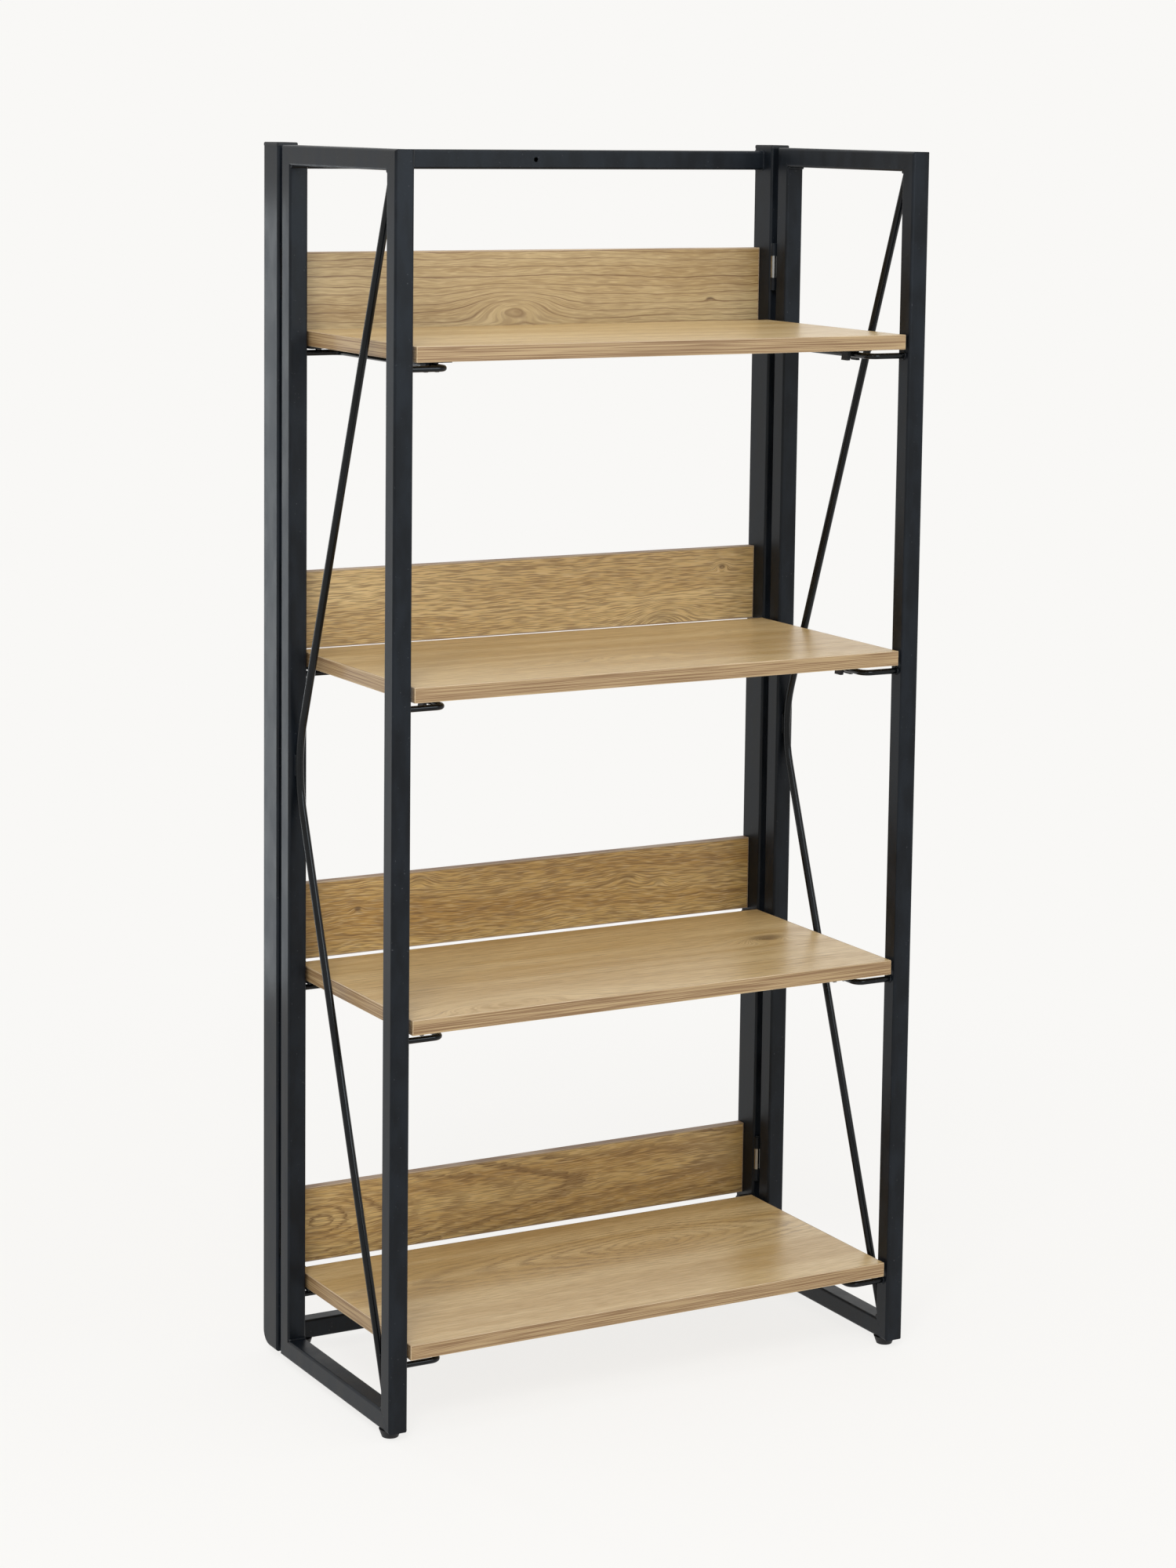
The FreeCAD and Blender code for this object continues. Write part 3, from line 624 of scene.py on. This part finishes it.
def make_piece(name: str, shape: Shape, body: str,
               finishes: Sequence[Material], stands_for: Sequence[str] = ()) -> None:
    """Turn a mesh under construction into a piece that rides on a body.

    Args:
        name: Name of the piece.
        shape: Mesh under construction, which this ends.
        body: Body that it rides on.
        finishes: Materials in the order of the faces' material numbers.
        stands_for: Nodes that it stands for.
    """
    bmesh.ops.recalc_face_normals(shape, faces=shape.faces)
    mesh = bpy.data.meshes.new(name)
    shape.to_mesh(mesh)
    shape.free()
    for finish in finishes:
        mesh.materials.append(finish)
    piece = add_object(name, mesh)
    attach(piece, body)
    if stands_for:
        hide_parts(*stands_for)
    log.info("%s: %d faces on %s", name, len(mesh.polygons), body)


def dress(node: str, finish: Material) -> None:
    """Give a node of the frame its finish.

    Args:
        node: Name of the node.
        finish: Material for all its faces.
    """
    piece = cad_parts[node]
    if not piece.material_slots:
        piece.data.materials.append(finish)
    for holder in piece.material_slots:
        holder.material = finish
    log.info("%s: finish %s", node, finish.name)


def angles(count: int) -> List[float]:
    """Return evenly spaced angles round a circle."""
    return [2 * math.pi * step / count for step in range(count)]


def add_bead(shape: Shape, route: Sequence[Vector], radius: float, closed: bool,
             lumps: float = 0.35, sides: int = 8) -> None:
    """Lay a lumpy bead of weld metal along a route.

    Args:
        shape: Mesh under construction.
        route: Points that the bead follows.
        radius: Radius of the bead.
        closed: Whether the route comes back to its start.
        lumps: How much the radius varies, as a share of it.
        sides: Number of sides of the bead's section.
    """
    count = len(route)
    rings: List[List[bmesh.types.BMVert]] = []
    across = (route[1] - route[0]).orthogonal().normalized()
    for number, spot in enumerate(route):
        before = route[number - 1] if closed or number > 0 else spot
        after = route[(number + 1) % count] if closed or number < count - 1 else spot
        forward = (after - before).normalized()
        across = (across - forward * across.dot(forward)).normalized()
        upward = forward.cross(across)
        swell = radius * (1 + lumps * noise.noise(spot * BEAD_LUMPS))
        rings.append([shape.verts.new(spot + swell * (math.cos(turn) * across + math.sin(turn) * upward))
                      for turn in angles(sides)])
    pairs = zip(rings, rings[1:] + rings[:1]) if closed else zip(rings, rings[1:])
    for first, second in pairs:
        for step in range(sides):
            following = (step + 1) % sides
            shape.faces.new((first[step], first[following], second[following], second[step])).smooth = True
    if not closed:
        shape.faces.new(rings[0])
        shape.faces.new(rings[-1])


def ellipse(centre: Vector, first: Vector, second: Vector, count: int = 40) -> List[Vector]:
    """Return points in order round the ellipse that has the two half axes."""
    return [centre + first * math.cos(turn) + second * math.sin(turn) for turn in angles(count)]


def straight(start: Vector, end: Vector, count: int = 14) -> List[Vector]:
    """Return evenly spaced points from a start to an end."""
    return [start.lerp(end, step / (count - 1)) for step in range(count)]


@dataclass(frozen=True)
class CrossScrew:
    """A pan head screw with a cross recess; only its head shows."""

    radius: float = 0.0034
    height: float = 0.0016
    recess: float = 0.0009
    arm: float = 0.00055
    reach: float = 0.0019
    flatness: int = 4
    spokes: int = 48
    rings: int = 12

    def add(self, shape: Shape, seat: Vector, outward: Vector) -> None:
        """Add one head.

        Args:
            shape: Mesh under construction.
            seat: Point in the middle of the face that the head sits on.
            outward: Direction in which the head stands proud.
        """
        place = Matrix.Translation(seat) @ outward.to_track_quat("Z", "Y").to_matrix().to_4x4()
        tip = shape.verts.new(place @ Vector((0, 0, self.height - self.recess)))
        last: List[bmesh.types.BMVert] = []
        for ring in range(1, self.rings + 1):
            away = self.radius * ring / self.rings
            dome = self.height * math.sqrt(max(0.0, 1 - (away / self.radius) ** self.flatness))
            verts = []
            for angle in angles(self.spokes):
                x = away * math.cos(angle)
                y = away * math.sin(angle)
                in_cross = min(abs(x), abs(y)) < self.arm and max(abs(x), abs(y)) < self.reach
                height = dome - (self.recess if in_cross else 0)
                verts.append(shape.verts.new(place @ Vector((x, y, height))))
            for spoke in range(self.spokes):
                following = (spoke + 1) % self.spokes
                outer = (verts[spoke], verts[following])
                shape.faces.new((last[spoke], *outer, last[following]) if last else (tip, *outer))
            last = verts


@dataclass
class OakBoard:
    """A laminated board with banded, eased edges, in place of a plain node."""

    node: str
    body: str
    slot: Slot
    face: OakLaminate
    strip_shift: float
    strip_light: Colour = EdgeBanding.light
    strip: float = 0.0009
    arris: float = 0.0006
    arris_steps: int = 3
    arris_shift: float = 3.0
    arris_light: Colour = paint(206, 184, 150)
    arris_dark: Colour = paint(168, 142, 108)
    arris_contrast: float = 0.6

    def _cover(self, shape: Shape) -> None:
        """Number the materials of the faces, with a rim of the edge strip round the two broad ones.

        Args:
            shape: Mesh of the eased board.
        """
        broad_axis = 1 if self.face.lie is Lie.UPRIGHT else 2
        broad = []
        for side in shape.faces:
            shares = [abs(share) for share in side.normal]
            if max(shares) <= SQUARE_ON:
                side.material_index = Cover.ARRIS
            elif shares.index(max(shares)) == broad_axis:
                side.material_index = Cover.FACE
                broad.append(side)
            else:
                side.material_index = Cover.STRIP
        for rim in bmesh.ops.inset_individual(shape, faces=broad, thickness=self.strip)["faces"]:
            rim.material_index = Cover.STRIP

    def build(self) -> None:
        """Build the board in the box of its node, with its materials in the order of the covers."""
        span = Span.of(self.node)
        shape = bmesh.new()
        place = Matrix.Translation(span.middle) @ Matrix.Diagonal((*(span.high - span.low), 1.0))
        bmesh.ops.create_cube(shape, size=1.0, matrix=place)
        bmesh.ops.bevel(shape, geom=list(shape.edges), offset=self.arris, segments=self.arris_steps,
                        profile=0.5, affect="EDGES")
        shape.normal_update()
        self._cover(shape)
        trimmed = EdgeBanding(self.node + "_arris", self.strip_shift + self.arris_shift, self.arris_light,
                              self.arris_dark, self.arris_contrast)
        finishes = [
            self.face.material(),
            EdgeBanding(self.node + "_strip", self.strip_shift, self.strip_light).material(),
            trimmed.material(),
        ]
        make_piece(self.node + "_laminate", shape, self.body, finishes, [self.node])


@dataclass
class ShelfSet:
    """One shelf with its brackets, pins, clips and the screws that hold them."""

    number: int
    face: OakLaminate
    plate_thick: float = 0.0035
    clip_length: float = 0.040
    clip_screw_spread: float = 0.026
    clip_screw: CrossScrew = CrossScrew(radius=0.0028, height=0.0009, recess=0.0006, arm=0.0004,
                                        reach=0.0015)
    bracket_screw_in: float = 0.0065
    bracket_width: float = 0.024
    bracket_screw: CrossScrew = CrossScrew()

    @property
    def name(self) -> str:
        """Return the name of the shelf's node."""
        return "shelf_%d" % self.number

    @property
    def body(self) -> str:
        """Return the body that tips up with the shelf."""
        return self.name + "_leaf"

    def _screws(self, steel: Material) -> None:
        """Add the screws under the brackets and the clips.

        Args:
            steel: Finish of the screws.
        """
        shape = bmesh.new()
        down = Vector((0, 0, -1))
        brackets = Span.of(self.name + "_brackets")
        clips = Span.of(self.name + "_clips")
        board = Span.of(self.name)
        clip_x = clips.high.x - self.clip_length / 2
        for side in Side:
            x = side.value * (brackets.high.x - self.bracket_width / 2)
            for y in (brackets.low.y + self.bracket_screw_in, board.high.y - self.bracket_screw_in):
                self.bracket_screw.add(shape, Vector((x, y, brackets.low.z)), down)
            for end in Side:
                x = side.value * clip_x + end.value * self.clip_screw_spread / 2
                seat = Vector((x, clips.middle.y, clips.high.z - self.plate_thick))
                self.clip_screw.add(shape, seat, down)
        make_piece(self.name + "_screws", shape, self.body, [steel])

    def build(self, finishes: Mapping[Slot, Material]) -> None:
        """Build the shelf and dress what tips up with it.

        Args:
            finishes: Materials of the other slots.
        """
        OakBoard(self.name, self.body, Slot.OAK_SHELF, self.face, STRIP_STEP * self.number).build()
        dress(self.name + "_brackets", finishes[Slot.BRACKET_COAT])
        dress(self.name + "_pins", finishes[Slot.ZINC_PIN])
        dress(self.name + "_clips", finishes[Slot.CLIP_PLASTIC])
        self._screws(finishes[Slot.SCREW_STEEL])


@dataclass
class BackFrame:
    """The back frame: posts, rails, caps, plugs, feet, bushes and the upstand boards.

    The beads round the ends of the rails cut each corner by a share of the rail's side.
    """

    faces: Tuple[OakLaminate, ...]
    strip_start: float = 3.0
    strip_light: Colour = paint(176, 156, 136)
    weld: float = 0.0009
    weld_points: int = 12
    cut_corner: float = 0.08
    tab_middle: float = 0.010
    tab_screw: CrossScrew = CrossScrew(radius=0.0036, height=0.0012, recess=0.0007)

    def _rail_welds(self, coat: Material) -> None:
        """Add the weld beads where the rails meet the posts.

        Args:
            coat: Finish that covers the welds.
        """
        shape = bmesh.new()
        for rail in ("back_top_rail", "back_bottom_rail"):
            span = Span.of(rail)
            for side in Side:
                x = side.value * span.high.x
                corners = [Vector((x, y, z)) for y, z in (
                    (span.low.y, span.low.z), (span.high.y, span.low.z),
                    (span.high.y, span.high.z), (span.low.y, span.high.z))]
                shares = (self.cut_corner, 1 - self.cut_corner)
                route = []
                for start, end in zip(corners, corners[1:] + corners[:1]):
                    route += straight(*(start.lerp(end, share) for share in shares), self.weld_points)
                add_bead(shape, route, self.weld, True)
        make_piece("back_rail_welds", shape, FRAME_BODY, [coat])

    def _tab_screws(self, steel: Material) -> None:
        """Build the screws that go through the tabs into the boards.

        Args:
            steel: Finish of the screws.
        """
        shape = bmesh.new()
        tabs = Span.of("board_tabs")
        for number in SHELF_NUMBERS:
            height = Span.of("back_board_%d" % number).middle.z
            for side in Side:
                seat = Vector((side.value * (tabs.high.x - self.tab_middle), tabs.high.y, height))
                self.tab_screw.add(shape, seat, Vector((0, 1, 0)))
        make_piece("tab_screws", shape, FRAME_BODY, [steel], ["board_screws"])

    def build(self, finishes: Mapping[Slot, Material]) -> None:
        """Build and dress the back frame.

        Args:
            finishes: Materials of the other slots.
        """
        for number, face in zip(SHELF_NUMBERS, self.faces):
            OakBoard("back_board_%d" % number, FRAME_BODY, Slot.OAK_BOARD, face,
                     self.strip_start + STRIP_STEP * number, self.strip_light).build()
        for side in Side:
            dress("back_post_" + side.label, finishes[Slot.FRAME_COAT])
            dress("back_cap_" + side.label, finishes[Slot.CAP_PLASTIC])
            dress("back_plug_" + side.label, finishes[Slot.CAP_PLASTIC])
            dress("back_foot_" + side.label, finishes[Slot.FOOT_PLASTIC])
            dress(side.label + "_pivot_bushes", finishes[Slot.BUSH_PLASTIC])
        for rail in ("back_top_rail", "back_bottom_rail", "board_tabs"):
            dress(rail, finishes[Slot.FRAME_COAT])
        self._rail_welds(finishes[Slot.FRAME_COAT])
        self._tab_screws(finishes[Slot.SCREW_STEEL])


@dataclass
class SideFrame:
    """A side frame: mitred tube, bent brace rod, support wires, glide and hinges.

    A sink is the share of its radius by which a bead lies in the face under it, and a rise is the share by
    which it stands off a wire, a rod or a corner.
    """

    side: Side
    wire_radius: float = 0.003
    rod_radius: float = 0.004
    rod_slope: float = 0.3594
    tube: float = 0.020
    weld: float = 0.0011
    weld_rise: float = 0.35
    apex_weld: float = 0.022
    apex_spread: float = 0.75
    apex_sink: float = 0.3
    seam: float = 0.0003
    seam_sink: float = 0.8
    seam_short: float = 0.0015
    corner_weld: float = 0.0018
    corner_rise: float = 0.3
    corner_short: float = 0.0009

    def _node(self, part: str) -> str:
        """Return the name of one of this side's nodes."""
        return "%s_%s" % (self.side.label, part)

    def _wire_welds(self, shape: Shape) -> None:
        """Add the beads where the support wires meet the posts.

        Args:
            shape: Mesh under construction.
        """
        post = Span.of(self._node("front_post"))
        face = self.side.value * min(abs(post.low.x), abs(post.high.x))
        ring = self.wire_radius + self.weld * self.weld_rise
        for number in SHELF_NUMBERS:
            wire = Span.of(self._node("wire_%d" % number))
            for y in (wire.low.y + self.wire_radius, wire.high.y - self.wire_radius):
                centre = Vector((face, y, wire.middle.z))
                route = ellipse(centre, Vector((0, ring, 0)), Vector((0, 0, ring)))
                add_bead(shape, route, self.weld, True)

    def _rod_welds(self, shape: Shape) -> None:
        """Add the beads at both ends and at the bend of the brace rod.

        Args:
            shape: Mesh under construction.
        """
        rod = Span.of(self._node("brace_rod"))
        long_half = self.rod_radius * math.hypot(1.0, self.rod_slope)
        rise = self.weld * self.weld_rise
        for height in (rod.low.z, rod.high.z):
            centre = Vector((rod.middle.x, rod.low.y + long_half, height))
            wide = Vector((self.rod_radius + rise, 0, 0))
            deep = Vector((0, long_half + rise, 0))
            add_bead(shape, ellipse(centre, wide, deep), self.weld, True)
        for edge in Side:
            x = rod.middle.x + edge.value * self.rod_radius * self.apex_spread
            start = Vector((x, rod.high.y - self.weld * self.apex_sink, rod.middle.z - self.apex_weld / 2))
            add_bead(shape, straight(start, start + Vector((0, 0, self.apex_weld))), self.weld, False)

    def _mitre_seams(self, shape: Shape) -> None:
        """Add the ground seams along the mitres, on both broad faces, and the beads in the inner corners.

        Args:
            shape: Mesh under construction.
        """
        front = Span.of(self._node("front_post"))
        rear = Span.of(self._node("rear_post"))
        corners = [(y, inward_y, z, inward_z) for y, inward_y in ((front.low.y, 1), (rear.high.y, -1))
                   for z, inward_z in ((front.low.z, 1), (front.high.z, -1))]
        for x in (front.low.x, front.high.x):
            sunk = x - math.copysign(self.seam * self.seam_sink, x - front.middle.x)
            for y, inward_y, z, inward_z in corners:
                outer, inner = (Vector((sunk, y + inward_y * depth, z + inward_z * depth))
                                for depth in (self.seam_short, self.tube))
                add_bead(shape, straight(outer, inner), self.seam, False, lumps=0.25, sides=6)
        depth = self.tube + self.corner_weld * self.corner_rise
        for y, inward_y, z, inward_z in corners:
            start, end = (Vector((x, y + inward_y * depth, z + inward_z * depth))
                          for x in (front.low.x + self.corner_short, front.high.x - self.corner_short))
            add_bead(shape, straight(start, end), self.corner_weld, False, lumps=0.2)

    def build(self, finishes: Mapping[Slot, Material]) -> None:
        """Dress the side frame and add its welds.

        Args:
            finishes: Materials of the slots.
        """
        coat = finishes[Slot.FRAME_COAT]
        drawn = PowderCoat(self._node("rod_coat"), paint(8, 10, 12), gloss_low=0.10, gloss_high=0.14,
                           sheen=0.21, peel_depth=0.00002).material()
        for part in ("front_post", "rear_post", "top_rail", "bottom_rail", "frame_leaves"):
            dress(self._node(part), coat)
        for part in ("brace_rod", *("wire_%d" % number for number in SHELF_NUMBERS)):
            dress(self._node(part), drawn)
        dress(self._node("glide"), finishes[Slot.FOOT_PLASTIC])
        dress(self._node("back_leaves"), finishes[Slot.HINGE_STEEL])
        dress(self._node("hinge_pins"), finishes[Slot.ZINC_PIN])
        for part, add_welds in (("wire_welds", self._wire_welds), ("rod_welds", self._rod_welds),
                                ("mitre_seams", self._mitre_seams)):
            shape = bmesh.new()
            add_welds(shape)
            make_piece(self._node(part), shape, FRAME_BODY, [coat])


@dataclass(frozen=True)
class SoftLamp:
    """A soft area lamp, square where no height is given, that the camera doesn't see.

    One that is for sheen only shows in glossy finishes and doesn't light the matt ones.
    """

    name: str
    place: Triple
    aim: Triple
    width: float
    watts: float
    height: Optional[float] = None
    tint: Colour = (1.0, 1.0, 1.0)
    sheen_only: bool = False

    def build(self) -> None:
        """Hang the lamp and turn it to its aim."""
        data = bpy.data.lights.new(self.name, "AREA")
        data.shape = "RECTANGLE"
        data.size = self.width
        data.size_y = self.height or self.width
        data.energy = self.watts
        data.color = self.tint
        lamp = add_object(self.name, data)
        lamp.location = self.place
        lamp.visible_camera = False
        lamp.visible_diffuse = not self.sheen_only
        direction = Vector(self.aim) - Vector(self.place)
        lamp.rotation_euler = direction.to_track_quat("-Z", "Y").to_euler()


@dataclass
class Studio:
    """Pale floor and surroundings, soft lamps and the camera.

    The focal length and the row that the camera looks along are in pixels of an image of the given height.
    """

    pale: Colour = paint(249, 248, 246)
    fill: float = 0.70
    floor_half: float = 9.0
    shadow_share: float = 0.14
    shadow_near: float = 0.55
    shadow_far: float = 1.7
    image_height: float = 2000.0
    focal: float = 4543.3
    centre_row: float = 719.5
    sensor: float = 36.0
    eye: Triple = (-1.7666, -3.1396, 1.2925)
    yaw: float = math.radians(29.281)
    pitch: float = math.radians(7.338)
    roll: float = math.radians(0.701)
    lamps: Tuple[SoftLamp, ...] = (
        SoftLamp("key_lamp", place=(-2.0, -2.6, 3.2), aim=(0.0, 0.0, 0.6), width=1.3, watts=79.0),
        SoftLamp("top_lamp", place=(0.4, -0.4, 3.6), aim=(0.0, 0.0, 0.6), width=2.4, watts=20.0),
        SoftLamp("strip_lamp", place=(-0.392, 0.335, 0.76), aim=(-0.3, 0.135, 0.76), width=0.035,
                 watts=0.43, height=0.85, tint=(0.84, 0.93, 1.0)),
        SoftLamp("front_lamp", place=(0.65, -2.70, 1.90), aim=(-0.28, 0.0, 1.2), width=1.4, watts=32.0,
                 tint=(0.80, 0.91, 1.0), sheen_only=True),
    )

    def floor(self) -> None:
        """Lay the floor, which fades into the backdrop away from the shadow."""
        shape = bmesh.new()
        bmesh.ops.create_grid(shape, x_segments=8, y_segments=8, size=self.floor_half)
        mesh = bpy.data.meshes.new("studio_floor")
        shape.to_mesh(mesh)
        shape.free()
        recipe = Recipe("studio_floor")
        axes = recipe.axes()
        away = recipe.maths("SQRT", recipe.squares(axes["X"], axes["Y"]))
        bare = recipe.ramp(away, self.shadow_near, self.shadow_far, 1 - self.shadow_share, 1.0)
        matt = recipe.node("ShaderNodeBsdfDiffuse", {"Color": opaque(self.pale)}).outputs[0]
        plain = recipe.node("ShaderNodeEmission", {"Color": opaque(self.pale), "Strength": 1.0}).outputs[0]
        share = recipe.maths("MULTIPLY", recipe.seen(), bare)
        blend = recipe.node("ShaderNodeMixShader", {0: share, 1: matt, 2: plain}).outputs[0]
        recipe.node("ShaderNodeOutputMaterial", {"Surface": blend})
        mesh.materials.append(recipe.material)
        floor = add_object("studio_floor", mesh)

    def surroundings(self) -> None:
        """Light the room evenly and show the same pale backdrop all round."""
        world = bpy.data.worlds.new("studio")
        bpy.context.scene.world = world
        world.use_nodes = True
        wiring = Wiring(world.node_tree)
        layers = {0: wiring.seen()}
        for number, strength in ((1, self.fill), (2, 1.0)):
            feeds = {"Color": opaque(self.pale), "Strength": strength}
            layers[number] = wiring.node("ShaderNodeBackground", feeds).outputs[0]
        chosen = wiring.node("ShaderNodeMixShader", layers).outputs[0]
        wiring.node("ShaderNodeOutputWorld", {"Surface": chosen})

    def camera(self) -> None:
        """Set up the camera."""
        flat = math.cos(self.pitch)
        forward = Vector((math.sin(self.yaw) * flat, math.cos(self.yaw) * flat, -math.sin(self.pitch)))
        level = Vector((math.cos(self.yaw), -math.sin(self.yaw), 0))
        upright = level.cross(forward)
        right = math.cos(self.roll) * level + math.sin(self.roll) * upright
        upward = -math.sin(self.roll) * level + math.cos(self.roll) * upright
        data = bpy.data.cameras.new("studio_camera")
        data.sensor_width = self.sensor
        data.lens = self.focal * self.sensor / self.image_height
        data.shift_y = (self.centre_row - self.image_height / 2) / self.image_height
        camera = add_object("studio_camera", data)
        turn = Matrix((right, upward, -forward)).transposed().to_4x4()
        camera.matrix_world = Matrix.Translation(self.eye) @ turn
        bpy.context.scene.camera = camera

    def build(self) -> None:
        """Build the whole studio."""
        bpy.context.scene.view_settings.view_transform = "Standard"
        self.floor()
        self.surroundings()
        for lamp in self.lamps:
            lamp.build()
        self.camera()
        log.info("studio: floor, surroundings, lamps and camera")


def make_finishes() -> Dict[Slot, Material]:
    """Make the finishes that several pieces share, each named like its slot.

    Returns:
        A material for each slot but the oak ones, which differ from board to board.
    """
    looks = (
        PowderCoat("frame_coat"),
        PowderCoat("bracket_coat", colour=paint(26, 28, 31)),
        # Hinge steel is zinc plate like the pins, with its colour darkened as painted shade for the
        # knuckles that sit in the shaded gap between the posts.
        ZincPlate("hinge_steel", colour=paint(160, 160, 158), gloss=0.08),
        ZincPlate("zinc_pin", colour=paint(190, 190, 187), gloss=0.25),
        ZincPlate("screw_steel", colour=paint(96, 96, 99), gloss=0.34),
        MouldedPlastic("clip_plastic", colour=paint(32, 33, 35)),
        MouldedPlastic("cap_plastic", colour=paint(24, 26, 29), gloss=0.40),
        MouldedPlastic("foot_plastic", colour=paint(28, 28, 30), gloss=0.45),
        MouldedPlastic("bush_plastic", colour=paint(48, 48, 49), gloss=0.36),
    )
    return {Slot(look.name): look.material() for look in looks}


def shelf_prints() -> Tuple[OakLaminate, ...]:
    """Design the oak prints of the shelves, which are glossier than the boards behind them.

    Returns:
        One print for each shelf, from the top one down.
    """
    shelf = partial(OakLaminate, lie=Lie.FLAT, shine=0.80, gloss=0.28, pale=paint(210, 183, 133),
                    middle=paint(189, 157, 101))
    return (
        shelf("shelf_1_face", shift=13.0, ring_force=0.25, fibre_force=0.28),
        shelf("shelf_2_face", shift=26.0, ring_force=0.55, fibre_force=0.24,
              knots=(Knot(0.02, -0.05, 0.120, 0.026, 0.034, 0.0),
                     Knot(0.20, 0.05, 0.040, 0.014, 0.018, 0.12))),
        shelf("shelf_3_face", shift=39.0, ring_force=0.62, fibre_force=0.26,
              knots=(Knot(0.214, -0.005, 0.034, 0.018, 0.030, 0.55),
                     Knot(-0.153, -0.118, 0.110, 0.030, 0.040, 0.0))),
        shelf("shelf_4_face", shift=52.0, heart=(0.10, 0.02), rise=0.52, reach=0.17, skew=-0.2,
              ring_gap=0.0062, ring_force=0.72, ring_width=0.45, ragged=0.0064, faintest=0.6, fade=0.080,
              fibre_force=0.26),
    )


def board_prints() -> Tuple[OakLaminate, ...]:
    """Design the oak prints of the upstand boards.

    Returns:
        One print for each board, from the top one down.
    """
    board = partial(OakLaminate, lie=Lie.UPRIGHT)
    return (
        board("back_board_1_face", shift=24.0, ring_force=0.95, faintest=0.6, ragged=0.0008,
              fibre_force=0.34, pale=paint(195, 172, 127), middle=paint(173, 146, 99),
              knots=(Knot(-0.022, 1.086, 0.050, 0.017, 0.024, 0.0),
                     Knot(0.216, 1.089, 0.008, 0.0022, 0.003, 0.6))),
        board("back_board_2_face", shift=41.0, ring_force=0.20, fibre_force=0.62,
              pale=paint(226, 198, 142), middle=paint(208, 176, 118),
              knots=(Knot(0.237, 0.798, 0.008, 0.0045, 0.010, 0.6),
                     Knot(0.163, 0.744, 0.032, 0.018, 0.018, 0.25))),
        board("back_board_3_face", shift=58.0, sway=1.4, ring_force=0.65, fibre_force=0.62,
              pale=paint(210, 177, 113), middle=paint(188, 150, 85),
              knots=(Knot(-0.199, 0.462, 0.007, 0.0040, 0.005, 0.7),
                     Knot(0.124, 0.465, 0.018, 0.006, 0.005, 0.3),
                     Knot(0.164, 0.456, 0.012, 0.005, 0.004, 0.3),
                     Knot(-0.128, 0.486, 0.016, 0.008, 0.006, 0.3))),
        board("back_board_4_face", shift=75.0, heart=(-0.240, 0.133), rise=0.54, reach=0.16, skew=0.1,
              ring_gap=0.0070, ring_force=0.85, ring_width=0.40, ragged=0.0064, faintest=0.4,
              fibre_force=0.50, pale=paint(214, 184, 124), middle=paint(194, 158, 96)),
    )


def main() -> None:
    """Build the bookcase's looks, then the studio round it."""
    logging.basicConfig(level=logging.INFO)
    finishes = make_finishes()
    for number, face in zip(SHELF_NUMBERS, shelf_prints()):
        ShelfSet(number, face).build(finishes)
    BackFrame(board_prints()).build(finishes)
    for side in Side:
        SideFrame(side).build(finishes)
    Studio().build()


if __name__ == "__main__":
    main()
